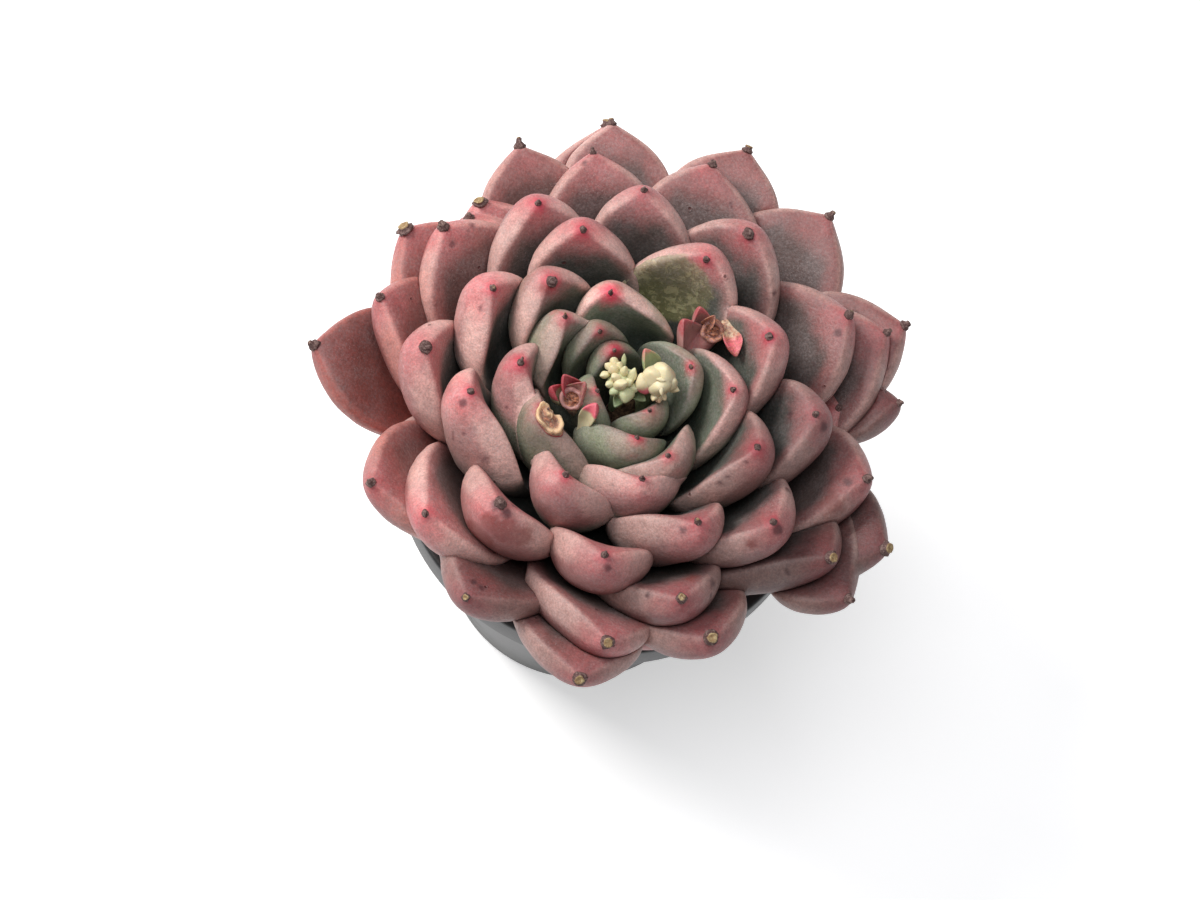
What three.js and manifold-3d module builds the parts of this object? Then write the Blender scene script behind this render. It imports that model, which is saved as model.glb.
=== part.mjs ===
// A potted echeveria: a dense spiral rosette of thick, cupped, pink-grey leaves on a short stem, with two
// small bud heads and two cut flower stalks among its inner leaves, standing in a plain round pot of grit.
// Millimetres, +Z up. The origin is the middle of the pot's flat underside, and -Y is the plant's front.

import * as THREE from "three";
import { mergeVertices } from "three/addons/utils/BufferGeometryUtils.js";
import Module from "manifold-3d";

const wasm = await Module();
wasm.setup();

// Driving dimensions of the pot and its filling.
const POT_HEIGHT = 42;
const POT_TOP_RADIUS = 27;
const POT_FOOT_RADIUS = 19;
const POT_WALL = 1.3;
const POT_FLOOR = 1.6;
const POT_RIM_DEPTH = 5;
const POT_RIM_STEP = 1.4;
const DRAIN_HOLES = 6;
const DRAIN_HOLE_RADIUS = 2.4;
const DRAIN_CIRCLE_RADIUS = 12.5;
const SOIL_TOP = 37.5;
const FIT_GAP = 0.3;
const POT_SEGMENTS = 40;

// Driving dimensions of the plant. Levels of leaves are measured from the level of the innermost tips.
const INNER_TIP_LEVEL = 65.5;
const STEM_RADIUS_IN_SOIL = 4.6;
const STEM_RADIUS_AT_LEAVES = 5.2;
const STEM_RADIUS_AT_TOP = 2.4;
const STEM_FOOT = 18;
const STEM_TOP = 51;

// The leaves as they stand round the axis, from the innermost out: the azimuth of the tip in degrees,
// anticlockwise from +X seen from above, its reach from the axis, the leaf's breadth, and how far the tip
// stands aside of the blade's middle, anticlockwise. A fifth number lifts the tip over the rule's level,
// and a sixth turns the blade about its own length in degrees.
const LEAVES = [
  [134, 4.5, 7.5, 0], [315, 4.5, 8, 0], [216, 4.5, 8, 0], [139, 7.2, 9, -0.8, 0, -8], [31, 7.2, 12, -0.8, 0, 8],
  [288, 8, 11, 1.6, 0, -20], [156, 11.3, 9.3, -2.2], [308, 11.3, 12.4, 0, 0, 17], [10, 12, 16, 0, 0, 8],
  [119, 11.2, 12.5, 2, 0, -18], [224, 12, 13.2, -2.2, 0, 10], [289, 14, 13.2, 0.8, 0, -8], [34, 17.6, 15.5, -0.2, 0, -6],
  [194, 14, 13.8, -2.4, 0, 7], [344, 17.8, 14.5, 1.8], [147, 15.6, 12.2, -1], [76, 18.5, 15, -1.1, 0, 6],
  [254, 16.4, 12.2, -1, 0, -8], [307, 21, 13, 2.4, 0, -12], [206, 20.4, 14, -3.4, 0, 18], [165, 20.6, 13.5, -1.9, 0, 5],
  [123.5, 20.6, 14.5, 0, 0, -18], [70, 26.4, 17, 0.4, 0, -6], [6, 23.5, 14, 1.4, 0, 6], [329, 25.3, 16, 0.6],
  [277, 24, 13.5, 0.2, 0, -5], [243, 24.2, 15, 0], [189, 26.2, 15, -0.7], [102, 27.3, 13.6, 1, 0, -6],
  [132, 27, 14, -1.5], [38, 31, 19.4, -1.2], [87, 37.5, 18.4, 2.4], [112, 35.8, 15.7, 0.4], [153, 32.7, 17.8, -0.6],
  [175, 34.3, 17.4, -1.6, 0, 18], [231, 31, 17.8, 0.7, 0, -7], [250, 34.5, 15.5, -0.4], [298, 29, 15.5, 1],
  [281, 33.5, 16, 2.8, 0, -16], [277, 37.8, 17, 1], [303.5, 33.8, 16, 0.6], [336, 33.3, 17.5, 3, 0, -18],
  [357, 32.5, 17, 1], [347, 38.5, 17, 0], [334, 38.4, 16, -4], [62, 41, 18.8, 0.2], [82, 43.2, 17.6, 0.3],
  [107, 42.3, 15.5, 0.5], [108, 43.2, 16.5, -2.2, -1.6], [126.5, 40.2, 15.5, -0.5], [140, 34, 13, 0, -3],
  [145, 32.5, 12, 0, -3], [157, 37.2, 17.4, -0.6], [186, 41, 17.3, 0.5], [218, 35, 17.5, -0.5], [34, 36.8, 17, 2],
  [35.5, 40.3, 17.4, -0.8], [20.5, 36.8, 8.4, 0, -3],
];

// Old lower leaves, hidden from above, follow each other by the golden angle.
const LOWER_LEAVES = 7;
const LOWER_START = 20;
const LOWER_REACH = 29;
const LOWER_WIDTH = 15;
const LOWER_RISE = -9.6;
const GOLDEN_ANGLE = 137.5;

// How a leaf changes with the reach of its tip, as pairs of reach and value.
const TIP_LEVEL = [[0, -1], [4, 0], [10, 2.2], [18, 3.4], [24, 2], [30, -1.5], [38, -7.5], [44, -10.5]];
const TIP_SLOPE = [[4, 84], [12, 87], [20, 86], [27, 75], [33, 58], [38, 42], [44, 30]];
const BASE_LEVEL = [[4, -16.5], [12, -18], [20, -20], [30, -22], [38, -23.5], [44, -24]];
const BASE_RADIUS = [[4, 1.5], [12, 3], [30, 4]];
const LEAF_THICKNESS = [[4, 3.2], [8, 4], [12, 4.8], [20, 5.8], [28, 6], [38, 5.6], [44, 5.2]];
const LEAF_CUP = [[4, 1.2], [8, 2], [12, 2.8], [18, 2.9], [26, 2.5], [34, 2.2], [44, 2]];

// On one side of the plant the inner leaves stand more closed, and on the other side more open.
const CLOSED_AZIMUTH = 205;
const CLOSED_BY = 14;
const OPENNESS_EVENS_OUT = [24, 36];

// The form that all leaves share. Distances from the tip are in parts of the leaf's breadth.
const BASE_WIDTH_SHARE = 0.42;
const BROADEST_FROM_TIP = 0.65;
const FULL_DEPTH_FROM_TIP = 0.4;
const LOW_STATIONS = [0, 0.6];
const TIP_STATIONS = [0.62, 0.34, 0.15, 0.03];
const RING_SIDES = 10;
const CORNER_POWER = 0.78;
const INNER_FACE_SHARE = 0.24;
const CURL_POWER = 1.5;
const MUCRO_LENGTH = 1;
const MIDLINE_STEPS = 60;

// The bud heads and the cut stalks: azimuth, reach and level of each, and the size of what it carries.
// A bract is its own azimuth, how far it runs out and rises, and its breadth.
const BUD_HEAD_LEFT = { azimuth: 188, reach: 2, level: 0.2, radius: 1.5, buds: 10, budLength: 1.2, budRadius: 0.85 };
const BUD_HEAD_RIGHT = { azimuth: 4, reach: 3.5, level: 1.2, radius: 0.9, buds: 7, budLength: 1.6, budRadius: 1.2 };
const CUT_STALK_LEFT = {
  azimuth: 214,
  reach: 8,
  level: -0.8,
  bracts: [[60, 2.4, 4, 3.6], [180, 2.6, 3.6, 3.2], [290, 3, 3.4, 3.2]],
};
const CUT_STALK_RIGHT = {
  azimuth: 53,
  reach: 12.6,
  level: -1,
  bracts: [[190, 3.4, 4, 4], [90, 2.4, 4.4, 3], [320, 3.6, 4.4, 3.4]],
};
const STALK_RADIUS = 0.8;
const CUT_STALK_RADIUS = 1.35;
const STALK_ROOT_LEVEL = -17;
const BRACT_ROOM = 1;

const degrees = THREE.MathUtils.degToRad;
const UP = new THREE.Vector3(0, 0, 1);

// The value of a table of pairs at x, straight between its entries and flat past its ends.
function lookUp(table, x) {
  if (x <= table[0][0]) return table[0][1];
  for (let i = 1; i < table.length; i += 1) {
    const [x1, y1] = table[i];
    if (x <= x1) {
      const [x0, y0] = table[i - 1];
      return y0 + ((y1 - y0) * (x - x0)) / (x1 - x0);
    }
  }
  return table[table.length - 1][1];
}

// A repeatable draw from 0 to 1 for a whole-numbered key.
function draw(key) {
  const wave = Math.sin(key * 12.9898) * 43758.5453;
  return wave - Math.floor(wave);
}

// A point at an azimuth and reach from the plant's axis, with its level from the innermost tips.
function onPlant(azimuth, reach, level) {
  const angle = degrees(azimuth);
  return new THREE.Vector3(reach * Math.cos(angle), reach * Math.sin(angle), INNER_TIP_LEVEL + level);
}

// A closed solid from a three.js geometry.
function solidOf(geometry) {
  const bare = geometry.index ? geometry.toNonIndexed() : geometry.clone();
  bare.deleteAttribute("normal");
  bare.deleteAttribute("uv");
  const merged = mergeVertices(bare, 1e-4);
  return new wasm.Manifold(
    new wasm.Mesh({
      numProp: 3,
      vertProperties: new Float32Array(merged.attributes.position.array),
      triVerts: new Uint32Array(merged.index.array),
    }),
  );
}

// The body of a joined solid alone: pockets sealed in among the leaves are filled, loose scraps dropped.
function wholeBody(solid) {
  return solid.decompose().reduce((best, piece) => (piece.volume() > best.volume() ? piece : best));
}

function geometryOf(solid) {
  const mesh = solid.getMesh();
  const geometry = new THREE.BufferGeometry();
  geometry.setAttribute("position", new THREE.BufferAttribute(new Float32Array(mesh.vertProperties), 3));
  geometry.setIndex(new THREE.BufferAttribute(new Uint32Array(mesh.triVerts), 1));
  geometry.computeVertexNormals();
  return geometry;
}

// A closed skin through rings of points, from the first ring's flat end to a last single point.
function skinOf(rings, point) {
  const sides = rings[0].length;
  const corners = rings.flat().concat([point]);
  const faces = [];
  for (let i = 1; i < sides - 1; i += 1) faces.push([0, i + 1, i]);
  for (let r = 0; r + 1 < rings.length; r += 1) {
    for (let i = 0; i < sides; i += 1) {
      const a = r * sides + i;
      const b = r * sides + ((i + 1) % sides);
      faces.push([a, b, b + sides], [a, b + sides, a + sides]);
    }
  }
  const last = (rings.length - 1) * sides;
  for (let i = 0; i < sides; i += 1) faces.push([last + i, last + ((i + 1) % sides), corners.length - 1]);
  const geometry = new THREE.BufferGeometry();
  const numbers = corners.flatMap((p) => [p.x, p.y, p.z]);
  geometry.setAttribute("position", new THREE.Float32BufferAttribute(numbers, 3));
  geometry.setIndex(faces.flat());
  return geometry;
}

// The leaf's midline, from its base to its tip in one upright plane: it starts out low and curls up more and
// more to the slope of the tip, and is turned and scaled so that both of its ends are where they belong.
function leafMidline(base, tip, tipSlope) {
  const out = new THREE.Vector3(tip.x - base.x, tip.y - base.y, 0);
  const run = out.length();
  const rise = tip.z - base.z;
  out.normalize();
  const chordSlope = Math.atan2(rise, run);
  const curl = ((degrees(tipSlope) - chordSlope) * (CURL_POWER + 1)) / CURL_POWER;
  const bend = (part) => curl * part ** CURL_POWER;
  const line = [[0, 0]];
  for (let i = 0; i < MIDLINE_STEPS; i += 1) {
    const slope = bend((i + 0.5) / MIDLINE_STEPS);
    const [x, z] = line[i];
    line.push([x + Math.cos(slope), z + Math.sin(slope)]);
  }
  const [endX, endZ] = line[MIDLINE_STEPS];
  const startSlope = chordSlope - Math.atan2(endZ, endX);
  const scale = Math.hypot(run, rise) / Math.hypot(endX, endZ);
  const at = (part) => {
    const place = THREE.MathUtils.clamp(part, 0, 1) * MIDLINE_STEPS;
    const i = Math.min(Math.floor(place), MIDLINE_STEPS - 1);
    const x = THREE.MathUtils.lerp(line[i][0], line[i + 1][0], place - i) * scale;
    const z = THREE.MathUtils.lerp(line[i][1], line[i + 1][1], place - i) * scale;
    const point = base.clone();
    point.addScaledVector(out, x * Math.cos(startSlope) - z * Math.sin(startSlope));
    point.addScaledVector(UP, x * Math.sin(startSlope) + z * Math.cos(startSlope));
    const slope = startSlope + bend(part);
    return { point, along: out.clone().multiplyScalar(Math.cos(slope)).addScaledVector(UP, Math.sin(slope)) };
  };
  return { out, at, length: scale * MIDLINE_STEPS };
}

// One leaf as a closed skin: a ring round the midline at each station, broad and blunt, flatter on its inner
// face and full at the back, with its rims lifted to cup the inner face and its dry point at the end.
function leafGeometry(leaf) {
  const { base, tip, tipSlope, width, thickness, cup, aside = 0, turn = 0, sides = RING_SIDES } = leaf;
  const { mucro = MUCRO_LENGTH } = leaf;
  const midline = leafMidline(base, tip, tipSlope);
  const side = new THREE.Vector3().crossVectors(UP, midline.out);
  const broadest = 1 - (BROADEST_FROM_TIP * width) / midline.length;
  const stations = LOW_STATIONS.map((part) => part * broadest);
  for (const fromTip of TIP_STATIONS) stations.push(1 - (fromTip * width) / midline.length);
  const rings = stations.map((part) => {
    const { point, along } = midline.at(part);
    const across = side.clone().applyAxisAngle(along, degrees(turn) * part);
    const inner = new THREE.Vector3().crossVectors(along, across);
    const fromTip = ((1 - part) * midline.length) / width;
    const swell = THREE.MathUtils.smoothstep(part, 0, broadest);
    const taper = (1 - Math.max(0, 1 - fromTip / BROADEST_FROM_TIP) ** 2.5) ** 0.6;
    const breadth = THREE.MathUtils.lerp(BASE_WIDTH_SHARE, 1, swell) * taper;
    const blunt = (1 - Math.max(0, 1 - fromTip / FULL_DEPTH_FROM_TIP) ** 2.5) ** 0.44;
    const depth = thickness * THREE.MathUtils.lerp(0.7, 1, swell) * blunt;
    const lift = cup * breadth * Math.min(1, 1.6 * part);
    const shift = aside * (Math.max(0, 1 - fromTip / BROADEST_FROM_TIP) - 1);
    const ring = [];
    for (let k = 0; k < sides; k += 1) {
      const angle = (2 * Math.PI * k) / sides;
      const x = Math.sign(Math.cos(angle)) * Math.abs(Math.cos(angle)) ** CORNER_POWER;
      const y = Math.sign(Math.sin(angle)) * Math.abs(Math.sin(angle)) ** CORNER_POWER;
      const face = y >= 0 ? INNER_FACE_SHARE : 1 - INNER_FACE_SHARE;
      const corner = point.clone().addScaledVector(across, 0.5 * width * breadth * x + shift);
      ring.push(corner.addScaledVector(inner, lift * x * x + depth * face * y));
    }
    return ring;
  });
  const end = midline.at(1);
  return skinOf(rings, end.point.addScaledVector(end.along, mucro));
}

function leafSolid(azimuth, reach, width, aside = 0, rise = 0, turn = 0) {
  const uneven = 1 - THREE.MathUtils.smoothstep(reach, ...OPENNESS_EVENS_OUT);
  const closed = CLOSED_BY * uneven * Math.cos(degrees(azimuth - CLOSED_AZIMUTH));
  return solidOf(
    leafGeometry({
      base: onPlant(azimuth - (57 * aside) / reach, lookUp(BASE_RADIUS, reach), lookUp(BASE_LEVEL, reach)),
      tip: onPlant(azimuth, reach, lookUp(TIP_LEVEL, reach) + rise),
      tipSlope: lookUp(TIP_SLOPE, reach) + closed,
      width,
      thickness: lookUp(LEAF_THICKNESS, reach),
      cup: lookUp(LEAF_CUP, reach),
      aside,
      turn,
    }),
  );
}

// A solid of revolution about Z from a profile of [radius, height] pairs that starts and ends on the axis.
function turned(profile, segments) {
  const points = profile.map(([r, z]) => new THREE.Vector2(r, z));
  return solidOf(new THREE.LatheGeometry(points, segments).rotateX(Math.PI / 2));
}

// A round rod from one point to another.
function rod(from, to, radius, endRadius = radius, sides = 10) {
  const along = to.clone().sub(from);
  const geometry = new THREE.CylinderGeometry(endRadius, radius, along.length(), sides);
  geometry.applyQuaternion(new THREE.Quaternion().setFromUnitVectors(new THREE.Vector3(0, 1, 0), along.normalize()));
  const middle = from.clone().lerp(to, 0.5);
  return solidOf(geometry.translate(middle.x, middle.y, middle.z));
}

function potSolid() {
  const slope = (POT_TOP_RADIUS - POT_FOOT_RADIUS) / POT_HEIGHT;
  const outside = (z) => POT_FOOT_RADIUS + slope * z;
  const ledge = POT_HEIGHT - POT_RIM_DEPTH;
  const rimRadius = outside(POT_HEIGHT) + POT_RIM_STEP;
  let pot = turned(
    [
      [0, 0],
      [POT_FOOT_RADIUS - 0.6, 0],
      [outside(0.6), 0.6],
      [outside(ledge), ledge],
      [rimRadius - 0.3, ledge],
      [rimRadius, ledge + 0.5],
      [rimRadius, POT_HEIGHT - 0.6],
      [rimRadius - 0.6, POT_HEIGHT],
      [outside(POT_HEIGHT) - POT_WALL + 0.2, POT_HEIGHT],
      [outside(POT_HEIGHT) - POT_WALL, POT_HEIGHT - 0.5],
      [outside(POT_FLOOR) - POT_WALL, POT_FLOOR],
      [0, POT_FLOOR],
    ],
    POT_SEGMENTS,
  );
  for (let k = 0; k < DRAIN_HOLES; k += 1) {
    const angle = degrees((360 * (k + 0.5)) / DRAIN_HOLES);
    const [x, y] = [DRAIN_CIRCLE_RADIUS * Math.cos(angle), DRAIN_CIRCLE_RADIUS * Math.sin(angle)];
    const below = new THREE.Vector3(x, y, -POT_FLOOR);
    const above = new THREE.Vector3(x, y, 2 * POT_FLOOR);
    pot = pot.subtract(rod(below, above, DRAIN_HOLE_RADIUS, DRAIN_HOLE_RADIUS, 16));
  }
  return pot;
}

// The mix fills the pot to just under its rim, and the stem stands in a plain flat-bottomed hole in it.
function soilSolid() {
  const slope = (POT_TOP_RADIUS - POT_FOOT_RADIUS) / POT_HEIGHT;
  const inside = (z) => POT_FOOT_RADIUS + slope * z - POT_WALL - FIT_GAP;
  const holeRadius = STEM_RADIUS_IN_SOIL + FIT_GAP;
  return turned(
    [
      [0, POT_FLOOR],
      [inside(POT_FLOOR), POT_FLOOR],
      [inside(SOIL_TOP), SOIL_TOP],
      [holeRadius, SOIL_TOP + 0.8],
      [holeRadius, STEM_FOOT],
      [0, STEM_FOOT],
    ],
    POT_SEGMENTS,
  );
}

function stemSolid() {
  return turned(
    [
      [0, STEM_FOOT],
      [STEM_RADIUS_IN_SOIL - 0.4, STEM_FOOT],
      [STEM_RADIUS_IN_SOIL, STEM_FOOT + 0.4],
      [STEM_RADIUS_IN_SOIL, SOIL_TOP + 1],
      [STEM_RADIUS_AT_LEAVES, SOIL_TOP + 3.5],
      [STEM_RADIUS_AT_LEAVES - 0.6, STEM_TOP - 5],
      [STEM_RADIUS_AT_TOP, STEM_TOP],
      [0, STEM_TOP + 0.8],
    ],
    16,
  );
}

// A small fleshy bract that grows from the side of a stalk. grow is room added all round it.
function bract(from, [azimuth, run, rise, width], grow = 0) {
  const out = new THREE.Vector3(Math.cos(degrees(azimuth)), Math.sin(degrees(azimuth)), 0);
  const tip = from.clone().addScaledVector(out, run).addScaledVector(UP, rise);
  const form = { base: from, tip, tipSlope: 80, sides: 8, cup: 0.35 * width };
  return solidOf(leafGeometry({ ...form, width: width + 2 * grow, thickness: 0.9 + 2 * grow, mucro: 0.3 + grow }));
}

// A head of buds: oblong buds in a dome round the end of the stalk, spread by the golden angle, and one bract.
function budHead({ azimuth, reach, level, radius, buds, budLength, budRadius }, bractFoot, bractForm) {
  const centre = onPlant(azimuth, reach, level);
  const root = onPlant(azimuth, 0.8, STALK_ROOT_LEVEL);
  let solid = rod(root, centre, STALK_RADIUS).add(bract(bractFoot, bractForm));
  for (let k = 0; k < buds; k += 1) {
    const lean = Math.acos(1 - (1.25 * (k + 0.5)) / buds);
    const angle = degrees(k * GOLDEN_ANGLE);
    const out = new THREE.Vector3(Math.sin(lean) * Math.cos(angle), Math.sin(lean) * Math.sin(angle), Math.cos(lean));
    const bud = new THREE.SphereGeometry(1, 6, 4).scale(budRadius, budLength, budRadius);
    bud.applyQuaternion(new THREE.Quaternion().setFromUnitVectors(new THREE.Vector3(0, 1, 0), out));
    const place = centre.clone().addScaledVector(out, radius);
    solid = solid.add(solidOf(bud.translate(place.x, place.y, place.z)));
  }
  const dome = new THREE.SphereGeometry(radius + budLength + FIT_GAP, 12, 8).translate(centre.x, centre.y, centre.z);
  const room = solidOf(dome)
    .add(rod(onPlant(azimuth, 0.8, STALK_ROOT_LEVEL - FIT_GAP), centre, STALK_RADIUS + FIT_GAP))
    .add(bract(bractFoot, bractForm, BRACT_ROOM));
  return { solid: wholeBody(solid), room };
}

// A cut flower stalk: a stump that leans out of the leaves, with what is left of its bracts.
function cutStalk({ azimuth, reach, level, bracts }) {
  const root = onPlant(azimuth, 0.45 * reach, STALK_ROOT_LEVEL + 4);
  const end = onPlant(azimuth, reach, level);
  const collar = root.clone().lerp(end, 0.8);
  const along = end.clone().sub(root).setLength(FIT_GAP);
  let solid = rod(root, end, CUT_STALK_RADIUS - 0.3, CUT_STALK_RADIUS);
  let room = rod(root.clone().sub(along), end.clone().add(along), CUT_STALK_RADIUS, CUT_STALK_RADIUS + FIT_GAP);
  for (const form of bracts) {
    solid = solid.add(bract(collar, form));
    room = room.add(bract(collar, form, BRACT_ROOM));
  }
  return { solid: wholeBody(solid), room };
}

// The plant: every leaf joined to the stem, with room left where each stalk and head stands.
function rosetteSolid(rooms) {
  let plant = stemSolid();
  for (const leaf of LEAVES) plant = plant.add(leafSolid(...leaf));
  for (let k = 0; k < LOWER_LEAVES; k += 1) {
    const azimuth = LOWER_START + k * GOLDEN_ANGLE;
    plant = plant.add(leafSolid(azimuth, LOWER_REACH + 2 * draw(k), LOWER_WIDTH, 0, LOWER_RISE));
  }
  for (const room of rooms) plant = plant.subtract(room);
  return wholeBody(plant);
}

function makeMesh(name, solid, color, roughness) {
  const material = new THREE.MeshStandardMaterial({ color, roughness, metalness: 0 });
  const mesh = new THREE.Mesh(geometryOf(solid), material);
  mesh.name = name;
  return mesh;
}

const budsLeft = budHead(BUD_HEAD_LEFT, onPlant(150, 1.6, -2), [120, 1.2, 4, 2]);
const budsRight = budHead(BUD_HEAD_RIGHT, onPlant(20, 2.6, -2.5), [110, 2.8, 5, 3.4]);
const cutLeft = cutStalk(CUT_STALK_LEFT);
const cutRight = cutStalk(CUT_STALK_RIGHT);
const rooms = [budsLeft, budsRight, cutLeft, cutRight].map((piece) => piece.room);

const plant = new THREE.Group();
plant.add(makeMesh("pot", potSolid(), 0x4a4744, 0.6));
plant.add(makeMesh("soil", soilSolid(), 0x5a4a3c, 0.95));
plant.add(makeMesh("rosette", rosetteSolid(rooms), 0xb98b86, 0.6));
plant.add(makeMesh("bud_head_left", budsLeft.solid, 0xd9dcae, 0.5));
plant.add(makeMesh("bud_head_right", budsRight.solid, 0xefdfb4, 0.5));
plant.add(makeMesh("cut_stalk_left", cutLeft.solid, 0xb35a52, 0.6));
plant.add(makeMesh("cut_stalk_right", cutRight.solid, 0x9a4a3c, 0.7));

export default plant;
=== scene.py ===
# %% [markdown]
# # A potted echeveria, dressed in Blender
#
# The CAD model says where every part is and how big it is. This lesson grows a finer plant, pot and soil in
# the same places and gives every finish its own material.

# %% Load the imported CAD model
import math

import bpy
import numpy as np
from mathutils import Matrix, Vector, noise
from mathutils.bvhtree import BVHTree


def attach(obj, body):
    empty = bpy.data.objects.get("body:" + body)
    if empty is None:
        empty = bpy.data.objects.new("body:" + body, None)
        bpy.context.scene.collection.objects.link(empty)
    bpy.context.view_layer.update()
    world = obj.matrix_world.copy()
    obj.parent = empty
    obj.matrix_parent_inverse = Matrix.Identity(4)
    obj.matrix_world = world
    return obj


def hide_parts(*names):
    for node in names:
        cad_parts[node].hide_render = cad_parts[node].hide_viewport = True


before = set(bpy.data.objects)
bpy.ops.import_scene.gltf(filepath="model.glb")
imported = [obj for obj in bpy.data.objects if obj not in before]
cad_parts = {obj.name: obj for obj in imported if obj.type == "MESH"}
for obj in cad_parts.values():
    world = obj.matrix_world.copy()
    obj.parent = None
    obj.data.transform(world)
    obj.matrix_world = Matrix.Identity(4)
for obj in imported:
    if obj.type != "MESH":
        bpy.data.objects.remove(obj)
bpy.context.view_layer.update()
scene = bpy.context.scene
MM = 0.001

# %% [markdown]
# ## Places on the plant
#
# Everything on a rosette is found by three numbers: the azimuth round the axis, the reach out from it, and
# the level above or below the innermost leaf tips. All lengths in this lesson are millimetres until a mesh is
# made, because that is how a plant is measured on a bench.

# %% Points, tables and repeatable draws
INNER_TIP_LEVEL = 65.5
UP = np.array([0.0, 0.0, 1.0])
GOLDEN_ANGLE = 137.5
print("the innermost leaf tips stand", INNER_TIP_LEVEL, "mm high")


def on_plant(azimuth, reach, level):
    angle = math.radians(azimuth)
    return np.array([reach * math.cos(angle), reach * math.sin(angle), INNER_TIP_LEVEL + level])


def look_up(table, x):
    return float(np.interp(x, [row[0] for row in table], [row[1] for row in table]))


def draw(key):
    """A repeatable draw from 0 to 1 for a number."""
    wave = math.sin(key * 12.9898) * 43758.5453
    return wave - math.floor(wave)


def ease(x, low, high):
    """0 below low, 1 above high, and a smooth step between."""
    t = np.clip((np.asarray(x, float) - low) / (high - low), 0, 1)
    return t * t * (3 - 2 * t)


# %% [markdown]
# ## Camera
#
# The plant is seen from the front, 67 degrees above the floor, with the picture turned a little to the right.
# A matrix with the picture's right, its up and the way back to the camera as columns sets that without any
# angles to guess.

# %% Put the camera where the photograph was taken
VIEW_ELEVATION = 67
VIEW_ROLL = 17
VIEW_DISTANCE = 320
CENTRE_ASIDE = 4.0
CENTRE_ABOVE = 8.75
FOCAL_LENGTH = 76.8

tilt, roll = math.radians(VIEW_ELEVATION), math.radians(VIEW_ROLL)
ahead = Vector((0, math.cos(tilt), -math.sin(tilt)))
level_right = Vector((1, 0, 0))
level_up = Vector((0, math.sin(tilt), math.cos(tilt)))
picture_right = level_right * math.cos(roll) + level_up * math.sin(roll)
picture_up = level_up * math.cos(roll) - level_right * math.sin(roll)

camera_data = bpy.data.cameras.new("camera")
camera_data.lens = FOCAL_LENGTH
camera_data.sensor_width = 36
camera_data.clip_start = 0.01
camera = bpy.data.objects.new("camera", camera_data)
eye = Vector((0, 0, INNER_TIP_LEVEL)) - picture_right * CENTRE_ASIDE - picture_up * CENTRE_ABOVE
eye = (eye - ahead * VIEW_DISTANCE) * MM
turned_to_plant = Matrix((picture_right, picture_up, -ahead)).transposed().to_4x4()
camera.matrix_world = Matrix.Translation(eye) @ turned_to_plant
scene.collection.objects.link(camera)
scene.camera = camera
print("camera stands at", [round(x, 3) for x in eye])

# %% [markdown]
# ## Light and floor
#
# The plant was photographed in bright, soft daylight against plain white. A soft key light stands at the
# left and models the leaves, and a weaker one from overhead reaches into the rosette. A faint world and a
# pale floor fill the shadows. The standard view transform keeps the whites white.

# %% Soft studio light
KEY_AZIMUTH = 165
KEY_ELEVATION = 42
KEY_DISTANCE = 0.5
KEY_SIZE = 0.2
KEY_POWER = 2.15
KEY_TINT = (1.0, 0.98, 0.95)
FILL_AZIMUTH = 215
FILL_ELEVATION = 84
FILL_DISTANCE = 0.5
FILL_SIZE = 0.3
FILL_POWER = 1.25
SKY_TINT = (0.97, 0.98, 1.0)
WORLD_STRENGTH = 0.17
LIT_LEVEL = 0.05


def aim_light(name, azimuth, elevation, distance, size, power, tint):
    """A square soft light that looks at the rosette from an azimuth and elevation."""
    data = bpy.data.lights.new(name, "AREA")
    data.shape = "SQUARE"
    data.size = size
    data.energy = power
    data.color = tint
    lamp = bpy.data.objects.new(name, data)
    a, e = math.radians(azimuth), math.radians(elevation)
    out = Vector((math.cos(a) * math.cos(e), math.sin(a) * math.cos(e), math.sin(e)))
    lamp.location = Vector((0, 0, LIT_LEVEL)) + out * distance
    lamp.rotation_euler = out.to_track_quat("Z", "Y").to_euler()
    scene.collection.objects.link(lamp)
    print(name, "stands at", [round(x, 2) for x in lamp.location])


aim_light("key_light", KEY_AZIMUTH, KEY_ELEVATION, KEY_DISTANCE, KEY_SIZE, KEY_POWER, KEY_TINT)
aim_light("fill_light", FILL_AZIMUTH, FILL_ELEVATION, FILL_DISTANCE, FILL_SIZE, FILL_POWER, SKY_TINT)

world = bpy.data.worlds.new("daylight")
world.use_nodes = True
sky = world.node_tree.nodes["Background"]
sky.inputs["Color"].default_value = (*SKY_TINT, 1)
sky.inputs["Strength"].default_value = WORLD_STRENGTH
scene.world = world
scene.view_settings.view_transform = "Standard"

# %% [markdown]
# ## Helpers for materials
#
# Each material is a small network of nodes. These helpers add one node each and hand back its output, so a
# finish reads like a recipe. Colours are written as on a paint card, 0 to 255, and turned into the linear
# light that the renderer works in.


# %% Node helpers
def paint(red, green, blue):
    """A colour from 0 to 255 as the renderer's linear colour."""
    shares = [c / 255 for c in (red, green, blue)]
    return (*(c / 12.92 if c <= 0.04045 else ((c + 0.055) / 1.055) ** 2.4 for c in shares), 1.0)


def feed(tree, socket, value):
    """Links an output to a socket, or sets the socket's own value."""
    if isinstance(value, bpy.types.NodeSocket):
        tree.links.new(value, socket)
    else:
        socket.default_value = value


def add_node(tree, kind, inputs=(), **settings):
    made = tree.nodes.new(kind)
    for name, value in settings.items():
        setattr(made, name, value)
    for name, value in dict(inputs).items():
        feed(tree, made.inputs[name], value)
    return made


def mixed(tree, mask, first, second, mode="MIX"):
    """first where mask is 0 and second where it is 1."""
    made = add_node(tree, "ShaderNodeMix", data_type="RGBA", blend_type=mode)
    for index, value in ((0, mask), (6, first), (7, second)):
        feed(tree, made.inputs[index], value)
    return made.outputs[2]


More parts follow.
